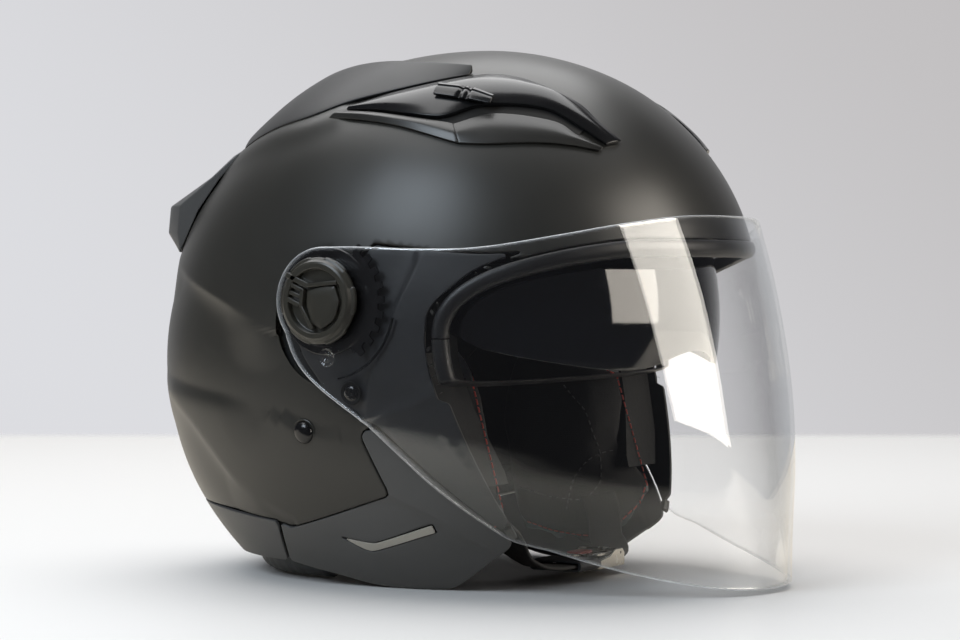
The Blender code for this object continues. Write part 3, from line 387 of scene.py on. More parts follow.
def rim_profile(wall, edge, steps=3):
    """Steps from the outer face's edge round to the inner face's: (outwards, down)."""
    turns = [math.pi / 2 * k / steps for k in range(1, steps + 1)]
    top = [(edge * math.sin(t), edge * (1 - math.cos(t))) for t in turns]
    bottom = [(edge * math.cos(t), wall - edge * (1 - math.sin(t))) for t in turns[:-1]]
    return top + [(edge, wall - edge)] + bottom + [(0.0, wall)]


def sheet_mesh(grid, shape, wall, edge=0.5, top=0.0, rises=()):
    """A closed sheet of even wall on a grid: vertices and faces in millimetres."""
    points, normals, faces = grid
    value, _ = along_skin(points, normals, shape)
    points, normals, faces, cut = clip(points, normals, faces, value - edge)
    _, out = along_skin(points, normals, shape)
    lift = np.full(len(points), float(top))
    for rise in rises:
        lift = lift + rise(points[:, 1], points[:, 2])
    outer = points + normals * lift[:, None]
    verts = [outer]
    count = len(points)
    all_faces = list(faces)
    rim = sorted({v for pair in cut for v in pair})
    place = {v: i for i, v in enumerate(rim)}
    profile = rim_profile(wall, edge)
    last = {v: v for v in rim}
    for outwards, down in profile[:-1]:
        verts.append(outer[rim] + out[rim] * outwards - normals[rim] * down)
        ring = {v: count + place[v] for v in rim}
        all_faces += [(last[b], last[a], ring[a], ring[b]) for a, b in cut]
        count += len(rim)
        last = ring
    verts.append(outer - normals * wall)
    all_faces += [tuple(count + v for v in reversed(face)) for face in faces]
    all_faces += [(last[b], last[a], count + a, count + b) for a, b in cut]
    return np.concatenate(verts), all_faces


def chains(cut):
    """The cut edges joined into lines of vertex numbers, the longest first."""
    following = dict(cut)
    starts = sorted(set(following) - set(following.values())) or sorted(following)
    lines, seen = [], set()
    for start in starts + sorted(following):
        if start in seen:
            continue
        line = [start]
        seen.add(start)
        while line[-1] in following and following[line[-1]] not in seen:
            line.append(following[line[-1]])
            seen.add(line[-1])
        lines.append(line)
    return sorted(lines, key=len, reverse=True)


# ================================ pieces ==============================================================
def make_object(name, verts, faces, look, sharp=40.0):
    mesh = bpy.data.meshes.new(name)
    mesh.from_pydata((np.asarray(verts, float) * MM).tolist(), [], [tuple(int(v) for v in f) for f in faces])
    mesh.validate()
    build = bmesh.new()
    build.from_mesh(mesh)
    bmesh.ops.remove_doubles(build, verts=build.verts, dist=0.000005)
    bmesh.ops.recalc_face_normals(build, faces=build.faces)
    build.to_mesh(mesh)
    build.free()
    if look:
        mesh.materials.append(look)
    mesh.shade_smooth()
    mesh.set_sharp_from_angle(angle=math.radians(sharp))
    obj = bpy.data.objects.new(name, mesh)
    bpy.context.scene.collection.objects.link(obj)
    return obj


def add(name, shape, look, slot, body="root", nodes=(), sharp=40.0):
    """A piece made from (verts, faces), riding on a body and standing for CAD nodes."""
    obj = make_object(name, *shape, look, sharp)
    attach(obj, body)
    if nodes:
        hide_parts(*nodes)
    return obj


def mirrored(shape):
    verts, faces = shape
    return np.asarray(verts, float) * (-1, 1, 1), [tuple(reversed(f)) for f in faces]


def on_side(shape, side):
    return shape if side == RIGHT else mirrored(shape)


def add_pair(name, shape, look, slot, nodes=True, **facts):
    """The same piece on both sides; each stands for the CAD node of that side."""
    for side, word in SIDES:
        stands_for = (f"{nodes if isinstance(nodes, str) else name}_{word}",) if nodes else ()
        add(f"{name}_{word}_detail", on_side(shape, side), look, slot, nodes=stands_for, **facts)


def join(*shapes):
    """Several shapes as one; they stay separate bodies."""
    verts, faces, count = [], [], 0
    for shape_verts, shape_faces in shapes:
        verts.append(np.asarray(shape_verts, float))
        faces += [tuple(v + count for v in f) for f in shape_faces]
        count += len(shape_verts)
    return np.concatenate(verts), faces


def loft_faces(rings, width):
    """Faces of a closed tube of rings with width points each, both ends filled."""
    faces = []
    for i in range(rings - 1):
        for k in range(width):
            after = (k + 1) % width
            faces.append((i * width + k, i * width + after, (i + 1) * width + after, (i + 1) * width + k))
    end = (rings - 1) * width
    return faces + [tuple(range(width - 1, -1, -1)), tuple(range(end, end + width))]


def prism(first, second):
    """A solid between two copies of a closed outline."""
    count = len(first)
    faces = [tuple(range(count)), tuple(range(2 * count - 1, count - 1, -1))]
    faces += [(i, i + count, (i + 1) % count + count, (i + 1) % count) for i in range(count)]
    return np.concatenate([first, second]), faces


# ================================ looks ================================================================
def look(name, colour, roughness, grain=None, blotch=None, metallic=0.0, ior=1.5):
    """A surface with fine grain in its bump and slow variation in its roughness and colour.

    grain is (size in mm, depth in mm); blotch is (size in mm, share of colour, change of roughness).
    """
    made = bpy.data.materials.new(name)
    made.use_nodes = True
    nodes, links = made.node_tree.nodes, made.node_tree.links
    shader = nodes["Principled BSDF"]
    shader.inputs["Base Color"].default_value = (*colour, 1.0)
    shader.inputs["Roughness"].default_value = roughness
    shader.inputs["Metallic"].default_value = metallic
    shader.inputs["IOR"].default_value = ior
    place = nodes.new("ShaderNodeTexCoord")
    if blotch:
        size, share, change = blotch
        slow = noise(nodes, links, place, 1.0 / (size * MM), 3.0)
        rough = ranged(nodes, links, slow, roughness - change, roughness + change)
        links.new(rough, shader.inputs["Roughness"])
        dark = tuple(c * (1 - share) for c in colour)
        light = tuple(c * (1 + share) for c in colour)
        links.new(ramp(nodes, links, slow, dark, light), shader.inputs["Base Color"])
    if grain:
        size, depth = grain
        fine = noise(nodes, links, place, 1.0 / (size * MM), 2.0)
        bump(nodes, links, fine, depth, shader)
    return made


def noise(nodes, links, place, scale, detail):
    made = nodes.new("ShaderNodeTexNoise")
    made.inputs["Scale"].default_value = scale
    made.inputs["Detail"].default_value = detail
    links.new(place.outputs["Object"], made.inputs["Vector"])
    return made.outputs["Fac"]


def ranged(nodes, links, socket, low, high):
    made = nodes.new("ShaderNodeMapRange")
    made.inputs["From Min"].default_value = 0.3
    made.inputs["From Max"].default_value = 0.7
    made.inputs["To Min"].default_value = low
    made.inputs["To Max"].default_value = high
    links.new(socket, made.inputs["Value"])
    return made.outputs["Result"]


def climbing(nodes, links, socket, low, high):
    """From 0 at low to 1 at high, smoothly."""
    made = nodes.new("ShaderNodeMapRange")
    made.interpolation_type = "SMOOTHSTEP"
    made.inputs["From Min"].default_value = low
    made.inputs["From Max"].default_value = high
    links.new(socket, made.inputs["Value"])
    return made.outputs["Result"]


def ramp(nodes, links, socket, dark, light, low=0.3, high=0.7):
    made = nodes.new("ShaderNodeValToRGB")
    made.color_ramp.elements[0].position = low
    made.color_ramp.elements[1].position = high
    made.color_ramp.elements[0].color = (*dark, 1.0)
    made.color_ramp.elements[1].color = (*light, 1.0)
    links.new(socket, made.inputs["Fac"])
    return made.outputs["Color"]


def bump(nodes, links, socket, depth, shader):
    made = nodes.new("ShaderNodeBump")
    made.inputs["Distance"].default_value = depth * MM
    made.inputs["Strength"].default_value = 1.0
    links.new(socket, made.inputs["Height"])
    links.new(made.outputs["Normal"], shader.inputs["Normal"])


def feed(links, socket, value):
    """Give a socket a number, a colour or a link."""
    if isinstance(value, bpy.types.NodeSocket):
        links.new(value, socket)
    else:
        socket.default_value = value


def calculated(nodes, links, operation, *values):
    made = nodes.new("ShaderNodeMath")
    made.operation = operation
    for socket, value in zip(made.inputs, values):
        feed(links, socket, value)
    return made.outputs[0]


def mixed_colour(nodes, links, factor, first, second):
    made = nodes.new("ShaderNodeMix")
    made.data_type = "RGBA"
    feed(links, made.inputs["Factor"], factor)
    feed(links, made.inputs[6], first)
    feed(links, made.inputs[7], second)
    return made.outputs[2]


def reach_along(nodes, links, socket, direction):
    """How far a vector reaches along a direction."""
    made = nodes.new("ShaderNodeVectorMath")
    made.operation = "DOT_PRODUCT"
    made.inputs[1].default_value = direction
    links.new(socket, made.inputs[0])
    return made.outputs["Value"]


# painted highlight: a band of this width along the shield's outline shows as opaque near-white
PAINTED_EDGE_HIGHLIGHT, EDGE_HIGHLIGHT_WIDTH, EDGE_HIGHLIGHT_SHARE = "edge", 1.5, 0.42
GLANCE_POWER = 3.5


def glass_look(name, tint, least, most, roughness=0.02):
    """Thin clear plastic: it mirrors more at a glancing angle, and its marked edges carry a painted highlight.
    """
    made = bpy.data.materials.new(name)
    made.use_nodes = True
    nodes, links = made.node_tree.nodes, made.node_tree.links
    shader = nodes["Principled BSDF"]
    shader.inputs["Base Color"].default_value = (*tint, 1.0)
    shader.inputs["Roughness"].default_value = roughness
    facing = nodes.new("ShaderNodeLayerWeight")
    facing.inputs["Blend"].default_value = 0.5
    glance = calculated(nodes, links, "POWER", facing.outputs["Facing"], GLANCE_POWER)
    share = nodes.new("ShaderNodeMapRange")
    share.inputs["To Min"].default_value = least
    share.inputs["To Max"].default_value = most
    links.new(glance, share.inputs["Value"])
    # painted highlight: in the marked band the plastic turns opaque and matt, so its near-white tint shows as a
    # bright line
    edge = nodes.new("ShaderNodeAttribute")
    edge.attribute_name = PAINTED_EDGE_HIGHLIGHT
    solid = calculated(nodes, links, "MULTIPLY_ADD", edge.outputs["Fac"], EDGE_HIGHLIGHT_SHARE, share.outputs["Result"])
    links.new(solid, shader.inputs["Alpha"])
    links.new(calculated(nodes, links, "SUBTRACT", 1.0, edge.outputs["Fac"]), shader.inputs["Metallic"])
    return made


def make_looks():
    return {
        "shell": look("satin_black_paint", (0.022, 0.021, 0.018), 0.37, (0.35, 0.003), (60, 0.08, 0.02)),
        "trim": look("satin_trim", (0.055, 0.055, 0.055), 0.43, (0.3, 0.005), (40, 0.08, 0.03)),
        "fairing": look("fairing_paint", (0.009, 0.009, 0.0095), 0.46, (0.3, 0.004), (40, 0.08, 0.03)),
        "plate": look("grained_plastic", (0.016, 0.017, 0.019), 0.5, (0.16, 0.012), (25, 0.08, 0.04)),
        "foam": look("foam_beads", (0.006, 0.006, 0.006), 0.9, (3.5, 0.3)),
        # lining and air mesh: darker than black cloth, partly their own black and partly painted shade of the
        # helmet's inside
        "lining": look("lining_fabric", (0.004, 0.004, 0.0045), 0.95, (0.5, 0.1)),
        "mesh_lining": dotted_look("air_mesh", (0.004, 0.004, 0.0045), 0.9, 1.2, 0.25, 0.05),
        "leather": dotted_look("perforated_leatherette", (0.026, 0.029, 0.033), 0.45, 2.2, 0.14, 0.08),
        "rubber": look("gasket_rubber", (0.010, 0.010, 0.011), 0.42, (0.4, 0.01), (30, 0.1, 0.05)),
        "clear": glass_look("clear_shield", (0.93, 0.95, 0.97), 0.045, 1.0),
        "smoke": look("smoked_visor", (0.003, 0.0035, 0.005), 0.05, ior=1.6),
        "gloss": look("gloss_black", (0.006, 0.006, 0.0065), 0.2, (1.2, 0.003)),
        "metal": look("plated_steel", (0.62, 0.60, 0.56), 0.25, (0.5, 0.01), (8, 0.1, 0.08), metallic=1.0),
        "webbing": look("strap_webbing", (0.006, 0.006, 0.0065), 0.8, (0.9, 0.2)),
        "vent": look("vent_plastic", (0.020, 0.019, 0.017), 0.3, (0.3, 0.003), (30, 0.08, 0.03)),
        # the dial: lighter and warmer than the gloss black, partly its own dark plastic and partly a painted
        # warm highlight
        "dial": look("dial_plastic_and_painted_highlight", (0.03, 0.028, 0.022), 0.3, (0.4, 0.004)),
        # painted shade: a near-black look for sheets, rings and bars that stand for the shade in openings and
        # recesses
        "painted_shade": look("painted_shade_black", (0.001, 0.001, 0.001), 0.8),
        "red": look("red_tab", (0.35, 0.02, 0.012), 0.6, (0.5, 0.08)),
        "red_thread": look("red_thread", (0.42, 0.04, 0.025), 0.7, (0.3, 0.05)),
        "grey_thread": look("grey_thread", (0.05, 0.05, 0.05), 0.7, (0.3, 0.05)),
        "accent": look("reflective_strip", (0.30, 0.28, 0.24), 0.4, (0.3, 0.01)),
    }


def dotted_look(name, colour, roughness, pitch, radius, depth):
    """A fabric or leatherette with a field of small round holes pitch millimetres apart, each hole bumped in and
    painted darker as shade.
    """
    made = look(name, colour, roughness)
    nodes, links = made.node_tree.nodes, made.node_tree.links
    shader = nodes["Principled BSDF"]
    cells = nodes.new("ShaderNodeTexVoronoi")
    cells.inputs["Scale"].default_value = 1.0 / (pitch * MM)
    cells.inputs["Randomness"].default_value = 0.12
    links.new(nodes.new("ShaderNodeTexCoord").outputs["Object"], cells.inputs["Vector"])
    black, white = (0.0, 0.0, 0.0), (1.0, 1.0, 1.0)
    holes = ramp(nodes, links, cells.outputs["Distance"], black, white, radius, radius + 0.1)
    bump(nodes, links, holes, depth, shader)
    # painted shade: the colour inside each hole is darkened to stand for the shade in it
    painted_hole_shade = tuple(c * 0.15 for c in colour)
    links.new(mixed_colour(nodes, links, holes, (*painted_hole_shade, 1.0), (*colour, 1.0)), shader.inputs["Base Color"])
    return made


# ================================ shell and panels ======================================================
def plate_shape(grow=0.0):
    ear = circle_shape(PIVOT_Y, PIVOT_Z, EAR_RADIUS - 1.0 + grow, True)
    return united(inside_of(SIDE_PLATE, grow), ear)


REAR_CREASES = [
    fold([(146, 166), (120, 156), (83.6, 143), (54, 130.8)], 2.4, 14),
    fold([(152, 106), (126, 99.8), (79, 93.5), (56.6, 88.2)], -1.8, 12),
    fold([(151, 101), (110.8, 81), (82, 53), (67, 44)], 1.8, 12),
    ridge([(110, 213), (86, 221), (69, 225.5), (46, 229.5), (28, 234.5)], 1.6, 7.0),
]


def make_shell(looks):
    region = FACE_OPENING + LOWER_EDGE[1:] + [(240, 330), (-240, 330)]
    shape = common(
        inside_of(region), outside_of(CHEEK_TRIM, SEAM), outside(plate_shape(SEAM)),
        outside_of(REAR_TRIM, SEAM), circle_shape(RIVET_Y, RIVET_Z, RIVET_HOLE, False),
    )
    sheet = sheet_mesh(egg_grid(around=420, across=72), shape, SHELL_WALL, 0.7, rises=REAR_CREASES)
    add("outer_shell_detail", sheet, looks["shell"], "shell", nodes=("outer_shell",))


def make_panels(looks):
    hole = circle_shape(SCREW_Y, SCREW_Z, SCREW_HOLE, False)
    creases = [
        fold([(-39.7, 163.5), (-29, 141), (-18, 117), (-11, 96), (-8.6, 84)], 2.2, 8, fade=5),
        ridge([(-10, 84), (-25, 88), (-46, 98)], 0.5, 3.0),
    ]
    plate_grid = side_grid((-88, 28), (44, 176), 1.1)
    plate = sheet_mesh(plate_grid, common(plate_shape(), hole), PANEL_WALL, 0.5, PANEL_TOP, creases)
    add_pair("side_plate", plate, looks["plate"], "plate")
    trim_grid = side_grid((-72, -4), (60, 82), 1.1)
    cheek_fold = [fold([(-12, 51), (-17, 47.7), (-39, 36), (-46, 30)], 1.0, 7, fade=8)]
    bed = outside_of(CHEEK_ACCENT, 0.4)
    trim = sheet_mesh(trim_grid, common(inside_of(CHEEK_TRIM), bed), PANEL_WALL, 0.55, PANEL_TOP, cheek_fold)
    accent_grid = side_grid((-38, 14), (20, 36), 0.6)
    accent = sheet_mesh(accent_grid, inside_of(CHEEK_ACCENT), 1.0, 0.3, PANEL_TOP - 0.1)
    add_pair("cheek_accent", accent, looks["accent"], "accent")
    add_pair("cheek_trim", trim, looks["trim"], "trim")
    rear_grid = egg_grid(around=150, across=72, angles=(180, 272))
    rear = sheet_mesh(rear_grid, inside_of(REAR_TRIM), PANEL_WALL, 0.5, PANEL_TOP)
    add("rear_trim_detail", rear, looks["trim"], "trim", nodes=("rear_trim",))


# ================================ shield and sun visor =================================================
def bowed_grid(across=230, up=170, rear_y=44.0):
    """The shield's outer face as a grid, from its right rear edge round to its left."""
    heights = np.linspace(0.5, 188, up)
    turns = np.linspace(0, math.pi, across)
    side_steps = 36
    rows = []
    for z in heights:
        half, depth = reading(SHIELD_WIDTHS, z), reading(SHIELD_DEPTHS, z)
        x = -half * np.sign(np.cos(turns)) * np.abs(np.cos(turns)) ** (2 / SHIELD_POWER)
        y = -depth * np.maximum(np.sin(turns), 0) ** (2 / SHIELD_POWER)
        back = np.linspace(rear_y, 0, side_steps, endpoint=False)
        xs = np.concatenate([np.full(side_steps, -half), x, np.full(side_steps, half)])
        ys = np.concatenate([back, y, back[::-1]])
        rows.append(np.stack([xs, ys, np.full(len(xs), z)], 1))
    grid = np.array(rows)
    along = np.gradient(grid, axis=1)
    rising = np.gradient(grid, axis=0)
    normals = np.cross(along, rising)
    normals /= np.maximum(np.linalg.norm(normals, axis=2), 1e-9)[:, :, None]
    points = grid.reshape(-1, 3)
    normals = normals.reshape(-1, 3)
    return points, normals, grid_faces(grid.shape[0], grid.shape[1])


SHIELD_CREASES = [
    [(-22, 167), (-30, 140), (-45, 98), (-62, 60), (-78, 28)],
    [(-8, 84), (-20, 88), (-46, 98)],
]


def mark_painted_edge_highlight(obj, shape, width):
    """Mark the vertices near the shape's outline, where a painted highlight stands in for the light that clear
    plastic gathers there.
    """
    places = np.array([v.co for v in obj.data.vertices]) / MM
    normals = np.array([v.normal for v in obj.data.vertices])
    value, _ = along_skin(places, normals, shape)
    mark = obj.data.attributes.new(PAINTED_EDGE_HIGHLIGHT, "FLOAT", "POINT")
    mark.data.foreach_set("value", np.clip(1.0 - value / width, 0.0, 1.0).astype(np.float32))


def make_shield(looks):
    ear = circle_shape(PIVOT_Y, PIVOT_Z, EAR_RADIUS, True)
    edge = united(inside_of(SHIELD_EDGE + [(PIVOT_Y, PIVOT_Z + EAR_RADIUS), (20, 140)]), ear)
    shape = common(edge, circle_shape(PIVOT_Y, PIVOT_Z, EAR_HOLE, False))
    creases = [ridge(line, 0.45, 0.9) for line in SHIELD_CREASES]
    sheet = sheet_mesh(bowed_grid(), shape, SHIELD_WALL, 0.8, rises=creases)
    obj = add("shield_detail", sheet, looks["clear"], "clear", "shield", nodes=("shield",), sharp=60)
    # painted highlight along the shield's outline
    mark_painted_edge_highlight(obj, shape, EDGE_HIGHLIGHT_WIDTH)


def make_sun_visor(looks):
    grid = egg_grid(0.0, 300, 60, radius_at=lambda a: np.full(np.shape(a), VISOR_RADIUS),
                    centre=(VISOR_Y, VISOR_Z), half_width=VISOR_HALF_WIDTH)
    edge = inside_of(VISOR_EDGE + [(-44, 146)])
    add("sun_visor_detail", sheet_mesh(grid, edge, VISOR_WALL, 0.6), looks["smoke"], "smoke", "sun_visor",
        nodes=("sun_visor",))


# ================================ gasket ================================================================
GASKET_FOOT = 97.5
GASKET_PROFILE = [
    (0.6, -3.0), (0.6, 0.2), (1.4, 1.0), (3.2, 1.3), (5.4, 1.1), (7.2, 0.2), (8.2, -1.4), (8.5, -3.4),
    (7.6, -5.0), (3.0, -5.2),
]


def make_gasket(looks):
    """A rubber moulding swept along the edge of the eye port, above the joint with the cheek strips."""
    points, normals, faces = egg_grid(around=420, across=72)
    port = outside_of(FACE_OPENING + [(-240, 27)])
    value, _ = along_skin(points, normals, port)
    points, normals, _, cut = clip(points, normals, faces, value)
    _, out = along_skin(points, normals, port)
    line = [v for v in chains(cut)[0] if points[v, 2] > GASKET_FOOT]
    moulding = sweep_along(points[line], out[line], normals[line], GASKET_PROFILE)
    add("eye_port_gasket_detail", moulding, looks["rubber"], "rubber", nodes=("eye_port_gasket",), sharp=50)


def smoothed(values, rounds=6):
    values = np.array(values, float)
    for _ in range(rounds):
        values[1:-1] = (values[:-2] + 2 * values[1:-1] + values[2:]) / 4
    return values


def sweep_along(points, out, normals, profile):
    """A closed profile of (outwards, up) carried along a line, with closed ends."""
    points, out, normals = smoothed(points), smoothed(out, 12), smoothed(normals)
    verts = np.concatenate([
        point + np.outer([p[0] for p in profile], way) + np.outer([p[1] for p in profile], normal)
        for point, way, normal in zip(points, out, normals)
    ])
    return verts, loft_faces(len(points), len(profile))


# ================================ raised panels on the shell ============================================
def raised(rows, rises, bottom, taper=0.0, edge=0.6, along=10, across=8, pattern=None):
    """A raised panel on the skin, from rows of (y, z) read as a smooth surface, with rounded edges."""
    rows = np.array(rows, float)
    count, width = rows.shape[:2]
    u = np.linspace(0, count - 1, (count - 1) * along + 1)
    v = np.linspace(0, width - 1, (width - 1) * across + 1)
    fine = np.stack([
        np.stack([reading(list(enumerate(rows[:, j, c])), u) for j in range(width)], 1) for c in (0, 1)
    ], -1)
    fine = np.stack([
        np.stack([reading(list(enumerate(fine[i, :, c])), v) for i in range(len(u))], 0) for c in (0, 1)
    ], -1)
    rise = np.maximum(reading(list(enumerate(rises)), v), 0.0)[None, :]
    fade = 1.0 - taper * np.abs(2 * u / (count - 1) - 1)[:, None] ** 2
    height = bottom + 0.6 + rise * fade
    if pattern:
        height = height + pattern(u[:, None] / (count - 1), v[None, :] / (width - 1))
    base = skin(fine[..., 0], fine[..., 1]).reshape(-1, 3)
    normals = skin_normals(base)
    return closed_panel(base, normals, height.ravel(), bottom, len(u), len(v), edge)


def closed_panel(base, normals, height, bottom, rows, columns, edge):
    """Top, rounded rim and underside of a grid of skin points with a height at each."""
    top = base + normals * height[:, None]
    faces = [tuple(f) for f in grid_faces(rows, columns)]
    index = np.arange(rows * columns).reshape(rows, columns)
    loop = np.concatenate([index[0, :-1], index[:-1, -1], index[-1, :0:-1], index[:0:-1, 0]])
    run = np.roll(top[loop], -1, 0) - np.roll(top[loop], 1, 0)
    out = np.cross(run, normals[loop])
    out /= np.maximum(np.linalg.norm(out, axis=1), 1e-9)[:, None]
    middle = top.mean(0)
    if ((top[loop] - middle) * out).sum() < 0:
        out = -out
    verts = [top]
    last, total = loop, len(top)
    for turn in (30, 60, 90):
        s, c = math.sin(math.radians(turn)), math.cos(math.radians(turn))
        verts.append(top[loop] + out * edge * s - normals[loop] * edge * (1 - c))
        ring = np.arange(total, total + len(loop))
        faces += list(zip(last, np.roll(last, -1), np.roll(ring, -1), ring))
        last, total = ring, total + len(loop)
    under = base + normals * bottom
    under[loop] += out * edge
    verts.append(under)
    ring = total + loop
    faces += list(zip(last, np.roll(last, -1), np.roll(ring, -1), ring))
    faces += [tuple(total + v for v in reversed(f)) for f in grid_faces(rows, columns)]
    return np.concatenate(verts), faces


VENT_BASE = [
    [(31, 232), (28, 233.5), (25, 235)],
    [(11, 230.5), (6, 231.7), (1, 233)],
    [(-14, 226.5), (-24, 227), (-33, 228)],
    [(-47, 217.5), (-44, 222), (-41, 226.5)],
    [(-60, 217), (-59.5, 225), (-58, 231.5)],
    [(-80, 217.6), (-81, 223), (-82, 228)],
    [(-94, 216.3), (-94, 219), (-94, 221)],
    [(-104, 214), (-104.3, 214.7), (-104.6, 215.3)],
]
VENT_STRIP, STRIP_RISE = VENT_BASE[:4], [0.2, 1.3, 0.5]
VENT_LENS, LENS_RISE = [[(y - 0.5, z) for y, z in VENT_BASE[3]]] + VENT_BASE[4:], [0.1, 1.0, 0.2]
VENT_COVER = [
    [(22, 236), (21, 236.6), (20, 237.2), (19, 237.8)],
    [(2, 234.8), (3, 237), (3.5, 239.5), (4, 242)],
    [(-16, 232.2), (-16, 237), (-15.5, 242), (-15, 246.3)],
    [(-35, 230.3), (-36, 239), (-36, 246), (-36, 250.8)],
    [(-48, 235.3), (-48, 241), (-47, 246.5), (-47, 251.5)],
    [(-60, 236), (-60, 241), (-60, 245.5), (-60, 249)],
    [(-72, 235), (-73, 239), (-74, 242), (-75, 243)],
    [(-82, 232), (-84, 233.6), (-86, 235), (-88, 236)],
    [(-95, 224), (-97, 225.4), (-98, 226), (-99, 226.6)],
    [(-105, 217), (-106.5, 217.7), (-107.5, 218.2), (-108.5, 218.7)],
]
COVER_RISE = [1.7, 3.4, 3.0, 1.0]
REAR_FAIRING = [
    [(-33, 252.6), (-33, 253.8), (-32.5, 255)],
    [(-14, 248.4), (-12, 252.8), (-10, 256.6)],
    [(6, 244), (11, 251.5), (16, 258)],
    [(26, 239.6), (34, 249.5), (40, 257)],
    [(46, 233.5), (56, 245.5), (63, 253)],
    [(69, 229), (77, 239.5), (83, 246)],
    [(86, 224), (93, 233.5), (97, 238.5)],
    [(97, 219.5), (103, 226.5), (106, 230)],
]
FAIRING_RISE = [0.5, 2.4, 4.2]
VENT_SLIDER = [
    [(-27, 238.6), (-27, 241), (-27, 243.2)],
    [(-42, 236.2), (-42, 238.7), (-42, 241)],
    [(-55, 233.4), (-55, 235), (-55, 236.6)],
]
SLIDER_RISE, SLIDER_LIFT = [0.6, 1.3, 0.6], 5.5
PANEL_BOTTOM = 0.9


def slider_ribs(u, v):
    """Two notches across the button and a lip along its upper edge."""
    notch = np.exp(-(((u - 0.42) / 0.035) ** 2)) + np.exp(-(((u - 0.55) / 0.035) ** 2))
    return 0.7 * (v > 0.75) - 0.9 * notch


def make_roof(looks):
    strip = raised(VENT_STRIP, STRIP_RISE, PANEL_BOTTOM, edge=0.25, along=16)
    lens = raised(VENT_LENS, LENS_RISE, PANEL_BOTTOM, edge=0.25, along=12)
    cover = raised(VENT_COVER, COVER_RISE, PANEL_BOTTOM, taper=0.7, edge=0.35, along=12)
    fairing = raised(REAR_FAIRING, FAIRING_RISE, PANEL_BOTTOM, taper=0.35, edge=0.5, along=12)
    slider = raised(VENT_SLIDER, SLIDER_RISE, SLIDER_LIFT, edge=0.25, along=24, across=10, pattern=slider_ribs)
    hoods = [VENT_COVER[i] for i in (3, 4, 5, 7, 8)]
    mouth_rows = [[sill[1], hood[0], hood[1]] for sill, hood in zip(VENT_BASE[2:7], hoods)]
    # painted shade: near-black sheets laid in the mouths under the vent cover, where the openings are in shade
    mouth = raised(mouth_rows, [0.0, 0.0, 0.0], 0.02, edge=0.05)
    add_pair("vent_mouth_painted_shade", mouth, looks["painted_shade"], "gloss", nodes=False)
    add_pair("vent_strip", strip, looks["vent"], "gloss", nodes="top_vent_base")
    add_pair("vent_lens", lens, looks["vent"], "gloss", nodes=False)
    add_pair("top_vent_cover", cover, looks["gloss"], "trim")
    add_pair("rear_fairing", fairing, looks["fairing"], "trim")
    for side, word in SIDES:
        name = "vent_slider_" + word
        add(name + "_detail", on_side(slider, side), looks["gloss"], "gloss", name, (name,))


SPOILER_EDGE_LINE = [(0, 173), (24, 170), (48, 162), (64, 151), (71, 141)]
SPOILER_TOP, SPOILER_EDGE_TOP, SPOILER_EDGE, SPOILER_FOOT = 219.0, 191.0, 177.0, 166.0
SPOILER_HALF_WIDTH, SPOILER_OVER_SKIN = 71.0, 1.4


def rear_point(x, z, offset):
    """The point of the back of the offset skin at a given x and z."""
    t = (1.0 - (abs(x) / SHELL_HALF_WIDTH) ** SIDE_POWER) ** (1.0 / RADIAL_POWER)
    low, high = 92.0, 200.0
    for _ in range(30):
        middle = (low + high) / 2
        if float(meridian_radius(middle)) * t * math.sin(math.radians(middle)) > z - SHELL_Z:
            low = middle
        else:
            high = middle
    reach = (float(meridian_radius(low)) + offset) * t
    return (SHELL_Y - reach * math.cos(math.radians(low)), SHELL_Z + reach * math.sin(math.radians(low)))


def make_spoiler(looks):
    """A wedge lofted across the back through smooth sections."""
    over = SPOILER_OVER_SKIN
    sections = []
    for x in np.linspace(-SPOILER_HALF_WIDTH, SPOILER_HALF_WIDTH, 61):
        edge_y = float(reading(SPOILER_EDGE_LINE, abs(x)))
        section = [
            rear_point(x, SPOILER_TOP, over), rear_point(x, SPOILER_TOP - 4.0, 3.2), rear_point(x, 203, 6.0),
            (edge_y - 1.5, SPOILER_EDGE_TOP), (edge_y, SPOILER_EDGE), rear_point(x, SPOILER_FOOT, over),
            rear_point(x, 188, over), rear_point(x, 204, over),
        ]
        sections.append([(x, y, z) for y, z in section])
    wedge = (np.array(sections).reshape(-1, 3), loft_faces(len(sections), len(sections[0])))
    obj = add("rear_spoiler_detail", wedge, looks["trim"], "trim", nodes=("rear_spoiler",), sharp=50)
    rounded(obj, 1.6, 4)


def rounded(obj, width, segments=3, angle=28.0):
    """A bevel on the piece's sharp edges."""
    bevel = obj.modifiers.new("rounded", "BEVEL")
    bevel.width = width * MM
    bevel.segments = segments
    bevel.limit_method = "ANGLE"
    bevel.angle_limit = math.radians(angle)
    bevel.harden_normals = False


# ================================ turned pieces =========================================================
def turned(profile, origin, axis, steps=48, teeth=None):
    """A turned closed shape: (radius, height along the axis) points from the axis round to the axis.

    teeth is (count, depth, lowest radius that has them).
    """
    axis = np.array(axis, float) / np.linalg.norm(axis)
    across = np.cross(axis, (0.0, 0.0, 1.0))
    across /= np.linalg.norm(across)
    other = np.cross(axis, across)
    turns = 2 * math.pi * np.arange(steps) / steps
    spokes = np.outer(np.cos(turns), across) + np.outer(np.sin(turns), other)
    verts, rows = [], []
    for radius, height in profile:
        centre = np.array(origin, float) + axis * height
        if radius == 0.0:
            rows.append([sum(map(len, verts))])
            verts.append(centre[None, :])
            continue
        radii = np.full(steps, float(radius))
        if teeth and radius > teeth[2]:
            wave = np.cos(turns * teeth[0])
            radii -= teeth[1] * (wave < -0.35)
        start = sum(map(len, verts))
        rows.append(list(range(start, start + steps)))
        verts.append(centre + spokes * radii[:, None])
    faces = []
    for low, high in zip(rows, rows[1:]):
        for k in range(steps):
            after = (k + 1) % steps
            face = [low[k % len(low)], low[after % len(low)], high[after % len(high)], high[k % len(high)]]
            faces.append(tuple(dict.fromkeys(face)))
    return np.concatenate(verts), faces


